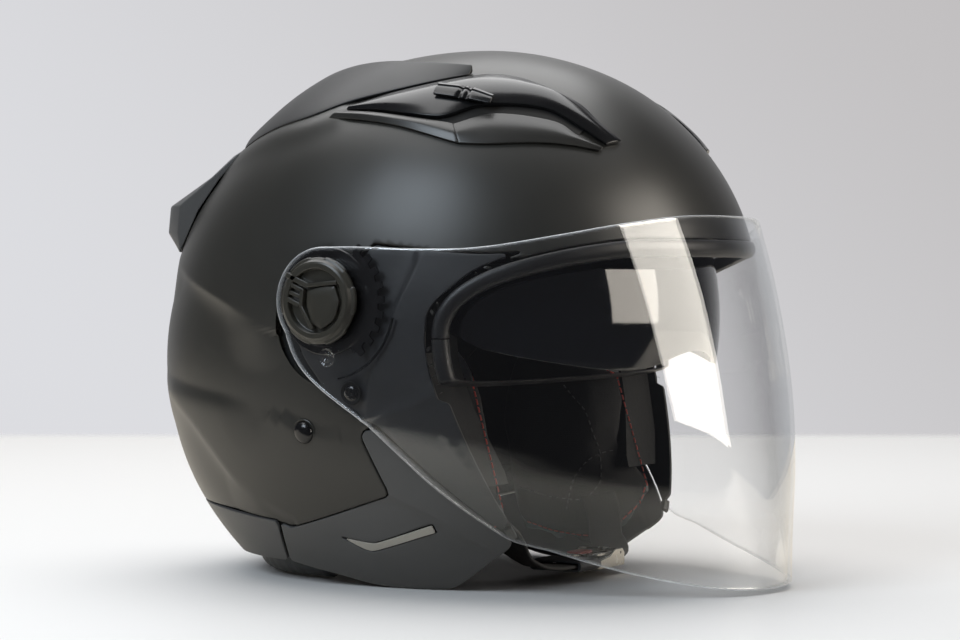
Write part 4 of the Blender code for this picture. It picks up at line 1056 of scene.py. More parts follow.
def skin_frame(y, z):
    """A point of the right side and the outward direction there."""
    point = skin(np.array([y]), np.array([z]))
    return point[0], skin_normals(point)[0]


def prism_x(outline, x0, x1):
    """A side-view outline between two places along X."""
    return prism(*(np.column_stack([np.full(len(outline), x), np.array(outline, float)]) for x in (x0, x1)))


def around_pivot(points):
    """Dial points (forwards, up) turned into side-view (y, z)."""
    return [(PIVOT_Y - forwards, PIVOT_Z + up) for forwards, up in points]


def domed(outline, x0, x1, crown, rings=7):
    """A side-view outline raised to a soft dome towards -X."""
    outline = curved(outline, step=1.0)
    centre = outline.mean(0)
    count = len(outline)
    verts = [np.column_stack([np.full(count, x0), outline])]
    for k in range(rings):
        share = k / rings
        shrink = 1.0 - 0.16 * (1 - math.cos(share * math.pi / 2)) - 0.75 * max(share - 0.25, 0) ** 1.2
        x = x1 - crown * math.sin(share * math.pi / 2)
        verts.append(np.column_stack([np.full(count, x), centre + (outline - centre) * shrink]))
    faces = [tuple(range(count))]
    for ring in range(rings):
        for i in range(count):
            after = (i + 1) % count
            low, high = ring * count, (ring + 1) * count
            faces.append((low + i, high + i, high + after, low + after))
    faces.append(tuple(range((rings + 1) * count - 1, rings * count - 1, -1)))
    return np.concatenate(verts), faces


RIB_FOOT, RIB_TOP = -134.8, -138.0


def bar(start, end, width):
    """A straight rib of the dial between two places given as (forwards, up)."""
    start, end = np.array(start, float), np.array(end, float)
    run = (end - start) / np.linalg.norm(end - start)
    side = np.array([-run[1], run[0]]) * width / 2
    corners = [start + side, end + side, end - side, start - side]
    return prism_x(around_pivot(corners), RIB_FOOT, RIB_TOP)


GRIP = [(-5.2, 4.6), (2, 6.6), (10.6, 7.2), (13.2, 0.0), (10.2, -8.6), (3.0, -13.6), (-2.8, -10.8), (-5.4, -2.0)]
DIAL_RIBS = [
    ((-16.5, 12.6), (-4.4, 7.4), 2.6), ((-4.8, 7.4), (12.4, 8.9), 1.9), ((-13.6, 7.6), (-7.0, 5.0), 1.8),
    ((-14.6, 4.2), (-8.4, 2.0), 1.8), ((-16.0, 1.0), (-9.0, -2.2), 2.2), ((-7.4, 5.6), (-8.2, -3.0), 2.0),
    ((-8.2, -2.6), (-1.6, -13.4), 1.8),
]


# turned shapes: (radius, distance outwards along the axis)
DIAL_PROFILE = [
    (0, 133.1), (21.0, 133.1), (21.5, 133.6), (21.5, 135.2), (21.0, 135.8), (19.9, 136.1), (18.9, 137.5),
    (18.0, 138.0), (15.9, 138.0), (15.4, 137.6), (15.2, 134.8), (0, 134.6),
]
PIVOT_BASE_PROFILE = [
    (0, 126.8), (25.9, 126.8), (26.3, 127.2), (26.3, 128.3), (25.8, 128.8), (22.5, 128.8), (22.0, 128.2),
    (15, 128.2), (14.5, 128.8), (11.4, 128.8), (11.4, 132.2), (10.9, 132.7), (0, 132.7),
]
RIVET_TAIL = [(5.5, 0.5), (3.2, 0.2), (3.2, -6.9), (5.6, -6.9), (5.6, -8.1), (0, -8.1)]
COLLAR_PROFILE = [(5.9, 0.0), (6.6, 0.25), (6.9, 0.0), (6.6, -0.3), (5.9, -0.3), (5.9, 0.0)]
SCREW_TOP = 1.5
SCREW_PROFILE = [
    (0, SCREW_TOP), (1.6, SCREW_TOP), (2.6, 1.35), (3.4, 1.0), (3.9, 0.5), (3.9, 0.3), (1.6, 0.3),
    (1.6, -3.4), (0, -3.4),
]
WELL_PROFILE = [(4.1, 0.2), (5.4, 0.75), (5.8, 0.2), (5.0, -0.4), (4.1, -0.3), (4.1, 0.2)]
RACK_STEP, RACK_FOOT, RACK_TIP, RACK_INNER = 13.0, 29.6, 33.0, 24.0
ARC_OUTER, ARC_INNER = 38.6, 37.8


def dial_shape():
    dial = turned(DIAL_PROFILE, (0.0, PIVOT_Y, PIVOT_Z), (-1, 0, 0), steps=192, teeth=(6, 0.6, 20.4))
    grip = domed(around_pivot(GRIP), -134.5, -136.2, 1.2)
    return join(dial, grip, *(bar(*rib) for rib in DIAL_RIBS))


def polar(radius, degrees):
    return (radius * math.cos(math.radians(degrees)), radius * math.sin(math.radians(degrees)))


def ratchet_plate():
    """The mechanism that shows through the ear: a stepped outline and a thin arc."""
    tooth = ((-0.5, RACK_FOOT), (-0.2, RACK_FOOT), (-0.12, RACK_TIP), (0.3, RACK_TIP), (0.38, RACK_FOOT))
    rack = [polar(radius, RACK_STEP * (k + share)) for k in range(-4, 5) for share, radius in tooth]
    rack += [polar(RACK_INNER, a) for a in (56, 28, 0, -28, -56)]
    arc = [polar(ARC_OUTER, a) for a in range(-80, -10, 4)] + [polar(ARC_INNER, a) for a in range(-12, -81, -4)]
    return join(prism_x(around_pivot(rack), -127.0, -128.3), prism_x(around_pivot(arc), -126.6, -127.9))


def make_pivots(looks):
    base = turned(PIVOT_BASE_PROFILE, (0.0, PIVOT_Y, PIVOT_Z), (-1, 0, 0), steps=96)
    add_pair("pivot_base", join(base, ratchet_plate()), looks["gloss"], "plate", sharp=25)
    dial = dial_shape()
    for side, word in SIDES:
        name = "pivot_dial_" + word
        obj = add(name + "_detail", on_side(dial, side), looks["dial"], "gloss", name, (name,), sharp=25)
        rounded(obj, 0.3, 3, 40)


def cross_cut(top, origin, axis, size=2.2, width=0.8, depth=0.9):
    """Two crossing bars for the screw's drive, set into its head; shown near-black, they stand for the shade in
    the recess.
    """
    across = np.cross(axis, (0, 0, 1.0))
    across /= np.linalg.norm(across)
    other = np.cross(axis, across)
    bars = []
    for a, b in ((across, other), (other, across)):
        corners = [a * size * s + b * width / 2 * t for s, t in ((-1, -1), (1, -1), (1, 1), (-1, 1))]
        bars.append(prism(*(origin + axis * height + np.array(corners) for height in (top - depth, top + 0.06))))
    return join(*bars)


def make_fasteners(looks):
    origin, axis = skin_frame(RIVET_Y, RIVET_Z)
    dome = [(5.4 * math.sin(t), 0.5 + 2.7 * math.cos(t)) for t in np.radians(np.linspace(0, 82, 8))[1:]]
    add_pair("strap_rivet", turned([(0, 3.2)] + dome + RIVET_TAIL, origin, axis), looks["gloss"], "gloss")
    add_pair("rivet_collar", turned(COLLAR_PROFILE, origin, axis), looks["shell"], "shell", nodes=False)
    origin, axis = skin_frame(SCREW_Y, SCREW_Z)
    add_pair("side_plate_screw", turned(SCREW_PROFILE, origin, axis, 40), looks["gloss"], "gloss")
    # painted shade: a near-black ring round the screw head and a near-black cross on it stand for the shade of
    # the well and of the drive's recess
    add_pair("screw_well_painted_shade", turned(WELL_PROFILE, origin, axis, 40), looks["painted_shade"], "gloss", nodes=False)
    add_pair("screw_drive_painted_shade", cross_cut(SCREW_TOP, origin, axis), looks["painted_shade"], "gloss", nodes=False)


# ================================ soft goods ============================================================
FOAM_INNER, LINING_INNER = -34.0, -44.0
CROWN_LINING = [
    (-240, 186), (-90, 182), (-50, 170), (-22, 154), (30, 132), (76, 86), (110, 68), (240, 68), (240, 320),
    (-240, 320),
]
CHEEK_PAD = [
    (-42, 122), (-60, 102), (-70, 76), (-74, 50), (-70, 28), (-55, 10), (-38, 0), (-6, 0), (22, 6), (30, 26),
    (36, 60), (30, 96), (16, 116), (-4, 126), (-26, 128),
]
CHEEK_INNER, CHEEK_CLEAR_X = -58.5, 60.0
PAD_FRONT = [
    (-40, 118), (-58, 100), (-68, 76), (-71.5, 50), (-67.5, 30), (-53, 12.5), (-37, 3.5), (-8, 3.5), (18, 8),
]
PAD_REAR = [(30, 40), (30, 110), (0, 128), (-30, 126)]
PAD_QUILTING = [(-52, 62), (-38, 58), (-26, 46), (-18, 28)]
PAD_SEAM_INSET, PAD_QUILTING_INSET = 11.0, 31.0
PAD_MIDDLE, PAD_MIDDLE_X = (-10.0, 60.0), -92.0
PAD_BACK, PAD_FOOT_BACK, PAD_FOOT_TOP, PAD_BACK_BLEND = FOAM_INNER - 2.0, -7.5, 36.0, 10.0
PAD_CROWN_WIDTH, PAD_EDGE_SHARE = 17.0, 0.2
LINING_OUTER = FOAM_INNER - 0.8
LINING_WALL = LINING_OUTER - LINING_INNER - 0.3
NECK_ROLL_HALF_WIDTH, NECK_ROLL_DEPTH, NECK_ROLL_START_Y, NECK_ROLL_Z = 68.0, 70.0, 38.0, 12.0
NECK_ROLL_THICK, NECK_ROLL_TALL, NECK_ROLL_POWER = 9.8, 11.4, 2.3
CLOTH_PRESSURE, CLOTH_FRAMES = 4.0, 20


def baked(obj):
    """The object with its modifiers applied."""
    shown = obj.evaluated_get(bpy.context.evaluated_depsgraph_get())
    made = bpy.data.meshes.new_from_object(shown)
    obj.modifiers.clear()
    obj.data = made
    return obj


def coordinates(mesh):
    flat = np.empty(len(mesh.vertices) * 3)
    mesh.vertices.foreach_get("co", flat)
    return flat.reshape(-1, 3)


def puffed(verts, faces, voxel, most):
    """A cushion's shape: remeshed evenly, swollen as cloth under pressure, moved no further than most."""
    obj = make_object("cushion", verts, faces, None)
    remesh = obj.modifiers.new("remesh", "REMESH")
    remesh.mode = "VOXEL"
    remesh.voxel_size = voxel * MM
    baked(obj)
    before = coordinates(obj.data)
    after = before
    cloth = obj.modifiers.new("cloth", "CLOTH")
    cloth.settings.use_pressure = True
    cloth.settings.uniform_pressure_force = CLOTH_PRESSURE
    cloth.settings.effector_weights.gravity = 0.0
    for moment in range(1, CLOTH_FRAMES + 1):
        bpy.context.scene.frame_set(moment)
    shown = obj.evaluated_get(bpy.context.evaluated_depsgraph_get())
    after = coordinates(shown.data)
    obj.modifiers.clear()
    bpy.context.scene.frame_set(1)
    move = after - before
    length = np.maximum(np.linalg.norm(move, axis=1), 1e-9)[:, None]
    settled = before + move * np.minimum(1.0, most * MM / length)
    obj.data.vertices.foreach_set("co", settled.ravel())
    smooth = obj.modifiers.new("smooth", "SMOOTH")
    smooth.iterations = 4
    finer = obj.modifiers.new("finer", "SUBSURF")
    finer.levels = finer.render_levels = 1
    baked(obj)
    points = coordinates(obj.data) / MM
    polygons = [tuple(p.vertices) for p in obj.data.polygons]
    bpy.data.objects.remove(obj, do_unlink=True)
    return points, polygons


def pad_block():
    """The right cheek pad before it swells: from the foam to a crowned inner face."""
    shape = inside_of(CHEEK_PAD, -2.0)
    points, normals, faces = side_grid((-80, -4), (40, 132), 2.6)
    value, _ = along_skin(points, normals, shape)
    points, _, faces, cut = clip(points, normals, faces, value)
    y, z = points[:, 1], points[:, 2]
    blend = np.clip((z - PAD_FOOT_TOP) / PAD_BACK_BLEND, 0, 1)
    outer = skin(y, z, (1 - blend) * PAD_FOOT_BACK + blend * PAD_BACK)
    value, _ = shape(y, z)
    crown = np.sqrt(np.clip(1 - (1 - np.clip(value / PAD_CROWN_WIDTH, 0, 1)) ** 2, 0, 1))
    inner = skin(y, z, CHEEK_INNER + 1.5)
    inner[:, 0] = np.minimum(inner[:, 0], -CHEEK_CLEAR_X - 1.5)
    inner = outer + (inner - outer) * (PAD_EDGE_SHARE + (1 - PAD_EDGE_SHARE) * crown)[:, None]
    count = len(points)
    all_faces = list(faces) + [tuple(count + v for v in reversed(f)) for f in faces]
    all_faces += [(b, a, count + a, count + b) for a, b in cut]
    return np.concatenate([outer, inner]), all_faces


def inset_line(line, by):
    """A side-view line moved in towards the pad's middle."""
    line = curved(line, closed=False, step=1.0)
    run = np.gradient(line, axis=0)
    across = np.stack([-run[:, 1], run[:, 0]], 1)
    across /= np.linalg.norm(across, axis=1)[:, None]
    toward = np.array(PAD_MIDDLE) - line
    across *= np.sign((across * toward).sum(1))[:, None]
    return line + across * by


def on_surface(tree, line):
    """Where rays from the middle plane meet the right pad at the line's points."""
    found = []
    for y, z in line:
        place, normal, _, _ = tree.ray_cast(Vector((0.0, y, z)), Vector((-1, 0, 0)))
        if place is not None:
            found.append((np.array(place), np.array(normal)))
    return found


def even_places(found, pitch):
    """Places along a line of surface points, at an even pitch: (place, normal, direction)."""
    places = np.array([p for p, _ in found])
    steps = np.linalg.norm(np.diff(places, axis=0), axis=1)
    travel = np.concatenate([[0], np.cumsum(steps)])
    result = []
    for s in np.arange(pitch / 2, travel[-1], pitch):
        i = int(np.searchsorted(travel, s)) - 1
        share = (s - travel[i]) / max(travel[i + 1] - travel[i], 1e-9)
        run = places[i + 1] - places[i]
        result.append((places[i] + run * share, found[i][1], run / max(np.linalg.norm(run), 1e-9)))
    return result


STITCH_SHARES = (-1.0, -0.8, -0.3, 0.3, 0.8, 1.0)


def stitch(place, normal, run, length, radius):
    """One stitch: a small spindle of thread lying on the surface, its ends pulled in."""
    across = np.cross(normal, run)
    verts, sides = [], 6
    for share in STITCH_SHARES:
        at_end = abs(share) == 1.0
        size = radius * (0.35 if at_end else 1.0)
        lift = radius * (-0.55 if at_end else 0.35)
        for k in range(sides):
            turn = 2 * math.pi * k / sides
            out = across * size * math.cos(turn) + normal * (lift + size * math.sin(turn))
            verts.append(place + run * share * length / 2 + out)
    return np.array(verts), loft_faces(len(STITCH_SHARES), sides)


def stitches(tree, line, pitch, length, radius):
    places = even_places(on_surface(tree, line), pitch)
    return join(*(stitch(p, n, r, length, radius) for p, n, r in places))


def grooved(verts, line, depth, width):
    """A sewn channel pressed into the inner face along a side-view line."""
    distance = nearest(line, verts[:, 1], verts[:, 2], False)[0]
    verts = verts.copy()
    middle = np.array([PAD_MIDDLE_X, *PAD_MIDDLE])
    press = depth * np.exp(-((distance / width) ** 2))
    away = verts - middle
    away /= np.maximum(np.linalg.norm(away, axis=1), 1e-9)[:, None]
    return verts - away * press[:, None]


def make_cheek_pads(looks):
    points, polygons = puffed(*pad_block(), voxel=4.5, most=4.0)
    seam = inset_line(PAD_FRONT, PAD_SEAM_INSET)
    points = grooved(points, seam, 1.3, 1.6)
    tree = BVHTree.FromPolygons([Vector(p) for p in points], polygons)
    thread = stitches(tree, seam, 4.0, 3.1, 0.42)
    quilting = [inset_line(PAD_FRONT, PAD_QUILTING_INSET), curved(PAD_QUILTING, closed=False)]
    lining_thread = join(*(stitches(tree, line, 4.2, 2.6, 0.35) for line in quilting))
    centres = np.array([points[list(f)].mean(0) for f in polygons])
    behind_seam = inside_of(list(map(tuple, seam[::6])) + PAD_REAR)
    front = (behind_seam(centres[:, 1], centres[:, 2])[0] <= 0) & (centres[:, 1] < 20)
    for side, word in SIDES:
        for label, mask, skin_look in (("", ~front, "mesh_lining"), ("_band", front, "leather")):
            piece = on_side(part_of(points, polygons, mask), side)
            nodes = () if label else (f"cheek_pad_{word}",)
            name = f"cheek_pad{label}_{word}_detail"
            obj = add(name, piece, looks[skin_look], "lining", nodes=nodes, sharp=180)
        add(f"cheek_pad_seam_{word}", on_side(thread, side), looks["red_thread"], "lining")
        add(f"cheek_pad_quilting_{word}", on_side(lining_thread, side), looks["grey_thread"], "lining")


def part_of(points, polygons, mask):
    kept = [f for f, keep in zip(polygons, mask) if keep]
    used = sorted({v for f in kept for v in f})
    place = {v: i for i, v in enumerate(used)}
    return points[used], [tuple(place[v] for v in f) for f in kept]


def make_crown_lining(looks):
    grid = egg_grid(LINING_OUTER, around=200, across=44)
    lining = sheet_mesh(grid, inside_of(CROWN_LINING), LINING_WALL, edge=3.2)
    obj = add("crown_lining_detail", lining, looks["mesh_lining"], "lining", nodes=("crown_lining",), sharp=180)


def make_neck_roll(looks):
    """A stuffed roll round the neck, drawn in at its ends and lightly puckered."""
    steps, sides = 96, 20
    turns = math.pi * np.arange(steps + 1) / steps
    power = 2 / NECK_ROLL_POWER
    x = -NECK_ROLL_HALF_WIDTH * np.sign(np.cos(turns)) * np.abs(np.cos(turns)) ** power
    y = NECK_ROLL_START_Y + NECK_ROLL_DEPTH * np.abs(np.sin(turns)) ** power
    centres = np.column_stack([x, y, np.full(steps + 1, NECK_ROLL_Z)])
    runs = np.gradient(centres, axis=0)
    runs /= np.linalg.norm(runs, axis=1)[:, None]
    verts = []
    for k, (centre, run) in enumerate(zip(centres, runs)):
        out = np.cross(run, (0, 0, 1.0))
        ends = min(k, steps - k) / steps * 30
        full = math.sqrt(min(1.0, 0.12 + ends * (2 - min(ends, 1.0)))) if ends < 1 else 1.0
        reach = full * (1.0 - 0.018 * (1 + math.sin(k * 1.9)))
        for j in range(sides):
            turn = 2 * math.pi * j / sides
            up = np.array([0, 0, NECK_ROLL_TALL * reach * math.sin(turn)])
            verts.append(centre + out * NECK_ROLL_THICK * reach * math.cos(turn) + up)
    roll = (np.array(verts), loft_faces(steps + 1, sides))
    obj = add("neck_roll_detail", roll, looks["leather"], "lining", nodes=("neck_roll",), sharp=70)


# ================================ chin strap and buckle =================================================
STRAP_WIDTH, SHORT_STRAP_WIDTH, STRAP_WALL = 24.0, 18.0, 1.8
STRAP_START_DEPTH, STRAP_EASE = 10.9, 0.2
STRAP_EXIT = (-55.0, -47.0, 24.0)
STRAP_LOOP = [(-46, -51.5, 14), (-38, -55, 9.6), (-29, -57.4, 7.8), (-23, -58, 7.6), (-16.5, -58, 7.6)]
SHORT_STRAP_LOOP = [(-47.5, -52, 14.5), (-44, -57, 9.5), (-38.9, -58, 7.6)]
SHORT_STRAP_LEAN = [(0, 1, 0), (0, 1, 0), (0.2, 0.95, 0), (0.1, 1, 0), (0, 1, 0)]
STRAP_LEAN = [(0, 1, 0), (0, 1, 0), (0.5, 0.8, 0), (0.5, 0.8, 0), (0.3, 0.9, 0), (0, 1, 0), (0, 1, 0)]
BUCKLE_Y, BUCKLE_LOW, BUCKLE_HIGH = -58.0, 3.6, 12.6
BUCKLE_NEAR, BUCKLE_FAR = 5.0, 35.0
BUCKLE_HALF_WIDTH, BUCKLE_WALL = 11.0, 1.3
LEVER_PIN_X, LEVER_PIN_Z = 30.5, 10.4
SLEEVE_NEAR, SLEEVE_FAR = -21.0, 1.0
STRIP_NEAR, STRIP_FAR, STRIP_LEVEL = -6.0, 22.0, 7.6
TAB_NEAR, TAB_FAR = -1.0, 12.0
# the sleeve's section: corners as (side, up, first angle); sizes as half width, half height and roundings
SLEEVE_CORNERS = ((1, 1, 0), (-1, 1, 90), (-1, -1, 180), (1, -1, 270))
SLEEVE_OUTER, SLEEVE_BORE = (12.6, 0.9, 2.3, 2.0), (13.0, 1.5, 0.2, 0.2)


def ribbon(path, width, wall, leans, step=1.5):
    """A flat strap with rounded edges along a smooth path; leans give its width's direction."""
    path, leans = np.array(path, float), np.array(leans[: len(path)], float)
    places = np.concatenate([[0], np.cumsum(np.linalg.norm(np.diff(path, axis=0), axis=1))])
    travel = np.linspace(0, places[-1], int(places[-1] / step) + 2)
    fine = np.stack([reading(list(zip(places, path[:, c])), travel) for c in range(3)], 1)
    lean = np.stack([np.interp(travel, places, leans[:, c]) for c in range(3)], 1)
    runs = np.gradient(fine, axis=0)
    runs /= np.linalg.norm(runs, axis=1)[:, None]
    lean -= runs * (lean * runs).sum(1)[:, None]
    lean /= np.linalg.norm(lean, axis=1)[:, None]
    normal = np.cross(runs, lean)
    half, thin = width / 2, wall / 2
    section = [(-half, -0.4 * thin), (-half + 0.5, -thin), (half - 0.5, -thin), (half, -0.4 * thin)]
    section += [(-a, -b) for a, b in section]
    sections = [
        point + np.array([over * a + up * b for a, b in section]) for point, over, up in zip(fine, lean, normal)
    ]
    return np.concatenate(sections), loft_faces(len(fine), len(section))


def lofted_strip(outline, half_width, centre_y=BUCKLE_Y):
    """A side outline in (x, z) carried across in Y."""
    x, z = np.array(outline, float).T
    return prism(*(np.column_stack([x, np.full(len(x), centre_y + s * half_width), z]) for s in (-1, 1)))


def make_chin_strap(looks):
    origin, axis = skin_frame(RIVET_Y, RIVET_Z)
    start = [origin - axis * STRAP_START_DEPTH, STRAP_EXIT]
    wall = STRAP_WALL - 0.1
    right = ribbon(start + STRAP_LOOP, STRAP_WIDTH - STRAP_EASE, wall, STRAP_LEAN)
    add("chin_strap_right_detail", right, looks["webbing"], "webbing", nodes=("chin_strap_right",))
    left = mirrored(ribbon(start + SHORT_STRAP_LOOP, SHORT_STRAP_WIDTH - STRAP_EASE, wall, SHORT_STRAP_LEAN))
    add("chin_strap_left_detail", left, looks["webbing"], "webbing", nodes=("chin_strap_left",))


def sleeve_loop(half_width, half_height, round_y, round_z):
    """A rectangle with rounded corners, as (y, z)."""
    loop = []
    for s, t, start in SLEEVE_CORNERS:
        for turn in np.radians([start, start + 45, start + 90]):
            y = BUCKLE_Y + s * half_width + round_y * math.cos(turn)
            loop.append((y, STRIP_LEVEL + t * half_height + round_z * math.sin(turn)))
    return loop


def make_strap_sleeve(looks):
    """The padded tube round the strip's tail, drawn in at its ends."""
    outer, inner = sleeve_loop(*SLEEVE_OUTER), sleeve_loop(*SLEEVE_BORE)
    places = np.linspace(SLEEVE_NEAR, SLEEVE_FAR, 12)
    verts = []
    for k, x in enumerate(places):
        at_end = k in (0, len(places) - 1)
        puff = 1.0 - 0.12 * at_end - 0.03 * (k % 3 == 1)
        narrow = 0.99 if at_end else 1.0
        for y, z in outer:
            verts.append((x, BUCKLE_Y + (y - BUCKLE_Y) * narrow, STRIP_LEVEL + (z - STRIP_LEVEL) * puff))
        verts += [(x, y, z) for y, z in inner]
    count = len(outer)
    width = 2 * count
    faces = []
    for i in range(len(places) - 1):
        low, high = i * width, (i + 1) * width
        for k in range(count):
            after = (k + 1) % count
            faces.append((low + k, low + after, high + after, high + k))
            faces.append((low + count + after, low + count + k, high + count + k, high + count + after))
    for start in (0, (len(places) - 1) * width):
        for k in range(count):
            after = (k + 1) % count
            faces.append((start + k, start + count + k, start + count + after, start + after))
    sleeve, nodes = (np.array(verts), faces), ("chin_strap_sleeve",)
    obj = add("chin_strap_sleeve_detail", sleeve, looks["leather"], "lining", nodes=nodes, sharp=50)


def make_buckle(looks):
    wall, high, low, half = BUCKLE_WALL, BUCKLE_HIGH, BUCKLE_LOW, BUCKLE_HALF_WIDTH
    near, far, pin_x = BUCKLE_NEAR, BUCKLE_FAR, LEVER_PIN_X
    pin_place, metal = (pin_x, BUCKLE_Y, LEVER_PIN_Z), looks["metal"]
    side = [
        (near, low), (far, low), (far, high - 2.5), (far - 2.5, high), (pin_x - 6, high), (pin_x - 12, high - 3),
        (near + 2, high - 4.5), (near, high - 6),
    ]
    plate = lofted_strip([(near, low), (far, low), (far, low + wall), (near, low + wall)], half - wall - 0.02)
    cheeks = [lofted_strip(side, wall / 2, BUCKLE_Y + s * (half - wall / 2)) for s in (-1, 1)]
    pin = turned([(0, -half), (1.1, -half), (1.1, half), (0, half)], pin_place, (0, 1, 0), 20)
    body = add("buckle_body_detail", join(plate, *cheeks, pin), metal, "metal", nodes=("buckle_body",), sharp=30)
    rounded(body, 0.35, 2)
    lever = [
        (near + 4.0, 10.2), (near + 8.0, 9.9), (pin_x - 2.0, 9.8), (pin_x - 1.2, 8.6), (pin_x - 1.7, 10.4),
        (pin_x - 1.2, 11.9), (pin_x - 3.0, 11.3), (near + 8.0, 11.3), (near + 4.0, 11.1),
    ]
    reach = half - wall - 0.9
    barrel_profile = [(1.5, -reach), (2.2, -reach), (2.2, reach), (1.5, reach), (1.5, -reach)]
    barrel = turned(barrel_profile, pin_place, (0, 1, 0), 24)
    name = "buckle_lever"
    lever_shape = join(lofted_strip(lever, reach), barrel)
    lever_piece = add(name + "_detail", lever_shape, metal, "metal", name, (name,), 35)
    rounded(lever_piece, 0.3, 2)
    tab = [
        (TAB_NEAR, 11.9), (TAB_NEAR + 1.2, 11.7), (TAB_FAR, 11.7), (TAB_FAR, 12.1), (TAB_NEAR + 3, 12.2),
        (TAB_NEAR + 3, 12.4), (TAB_FAR, 12.5), (TAB_FAR, 12.9), (TAB_NEAR + 1.2, 12.9), (TAB_NEAR, 12.7),
    ]
    tab_piece = add("buckle_pull_tab_detail", lofted_strip(tab, 4.0), looks["red"], "red", "buckle_lever",
                    ("buckle_pull_tab",), sharp=40)
    rounded(tab_piece, 0.15, 2)


def make_ratchet_strip(looks):
    top, low = STRIP_LEVEL + 1.1, STRIP_LEVEL - 1.1
    teeth = [(STRIP_NEAR, low), (STRIP_FAR - 1.0, low), (STRIP_FAR, STRIP_LEVEL)]
    x = STRIP_FAR - 0.8
    while x > STRIP_NEAR + 8:
        teeth += [(x, top), (x - 0.3, top), (x - 1.6, top - 0.9)]
        x -= 1.8
    teeth.append((STRIP_NEAR, top))
    name = "ratchet_strip"
    add(name + "_detail", lofted_strip(teeth, 7.5), looks["gloss"], "gloss", name, (name,), sharp=20)


KNOB_ROWS = [[(y, 17.0), (y, 18.7), (y, 20.4)] for y in (38, 44, 50)]
KNOB_RISE, KNOB_FOOT = [2.6, 3.4, 2.6], -1.5


def knob_ribs(u, v):
    return -0.7 * (np.cos(u * 2 * math.pi * 5) > 0.55)


def make_visor_slider(looks):
    """The small ribbed knob in the left cheek trim."""
    knob = mirrored(raised(KNOB_ROWS, KNOB_RISE, KNOB_FOOT, edge=0.25, along=30, pattern=knob_ribs))
    name = "sun_visor_slider"
    add(name + "_detail", knob, looks["gloss"], "gloss", name, (name,), sharp=30)


EAR_FACE = 132.1
BOSS_PROFILE = [
    (1.2, EAR_FACE), (1.2, 133.4), (2.0, 133.9), (2.6, 133.2), (3.6, 133.2), (4.2, 133.7), (4.7, 133.0),
    (4.7, EAR_FACE), (1.2, EAR_FACE),
]
HOLE_RIB_PROFILE = [(12.4, EAR_FACE), (12.5, 132.7), (13.2, 132.7), (13.5, EAR_FACE), (12.4, EAR_FACE)]


def make_shield_details(looks):
    """The moulded boss in each ear and the small rib round the ear's hole."""
    boss = turned(BOSS_PROFILE, (0, BOSS_Y, BOSS_Z), (-1, 0, 0), 64)
    rib = turned(HOLE_RIB_PROFILE, (0, PIVOT_Y, PIVOT_Z), (-1, 0, 0), 64)
    for side, word in SIDES:
        add(f"shield_boss_{word}", on_side(boss, side), looks["clear"], "clear", "shield")
        add(f"shield_hole_rib_{word}", on_side(rib, side), looks["clear"], "clear", "shield")


# ================================ studio ===============================================================
CAMERA_TURN = math.radians(-60.0)
LOOK_ALONG = (-math.sin(CAMERA_TURN), math.cos(CAMERA_TURN), 0.0)
CAMERA_DISTANCE, CAMERA_HEIGHT, CAMERA_LENS, CAMERA_SHIFT = 1.36, 0.152, 97.5, -40 / 960


def make_camera():
    data = bpy.data.cameras.new("camera")
    data.lens = CAMERA_LENS
    data.shift_y = CAMERA_SHIFT
    camera = bpy.data.objects.new("camera", data)
    bpy.context.scene.collection.objects.link(camera)
    camera.location = Vector((0, -0.002, CAMERA_HEIGHT)) - Vector(LOOK_ALONG) * CAMERA_DISTANCE
    camera.rotation_mode = "QUATERNION"
    camera.rotation_quaternion = Vector(LOOK_ALONG).to_track_quat("-Z", "Y")
    bpy.context.scene.camera = camera


def area_light(name, place, target, size, power, colour=(1, 1, 1), height=None, lights_matt=True):
    """A rectangular lamp; one that doesn't light matt surfaces only shows in reflections."""
    data = bpy.data.lights.new(name, "AREA")
    data.shape = "RECTANGLE"
    data.size = size
    data.size_y = height or size
    data.energy = power
    data.color = colour
    lamp = bpy.data.objects.new(name, data)
    bpy.context.scene.collection.objects.link(lamp)
    lamp.location = place
    lamp.rotation_mode = "QUATERNION"
    lamp.rotation_quaternion = (Vector(target) - Vector(place)).to_track_quat("-Z", "Y")
    lamp.visible_diffuse = lights_matt


# the backdrop's colours and the span of directions between them, towards HIGH_RIGHT
BACKDROP_LOW_LEFT = (0.72, 0.725, 0.755, 1.0)
BACKDROP_HIGH_RIGHT = (0.53, 0.515, 0.52, 1.0)
HIGH_RIGHT, BACKDROP_SPAN = (0.5, -0.866, 1.0), (-0.22, 0.36)
# the room as matt surfaces see it, as glossy ones do, and the wall behind the helmet
AMBIENT = (0.14, 0.14, 0.145, 1.0)
MIRRORED_ROOM = (0.055, 0.055, 0.06, 1.0)
BEHIND, BEHIND_SPAN = (0.55, 0.55, 0.56, 1.0), (0.5, 0.95)
TABLE_COLOUR = (0.82, 0.805, 0.785, 1.0)
# painted reflection: the warmer colour the table takes for glossy rays
TABLE_PAINTED_REFLECTION = (0.86, 0.78, 0.66, 1.0)
TABLE_FRONT, TABLE_BACK, TABLE_HALF_WIDTH, TABLE_FADE = -1800.0, 1250.0, 1800.0, 120.0
MIRRORED_TABLE_START = (-0.225, -0.165)


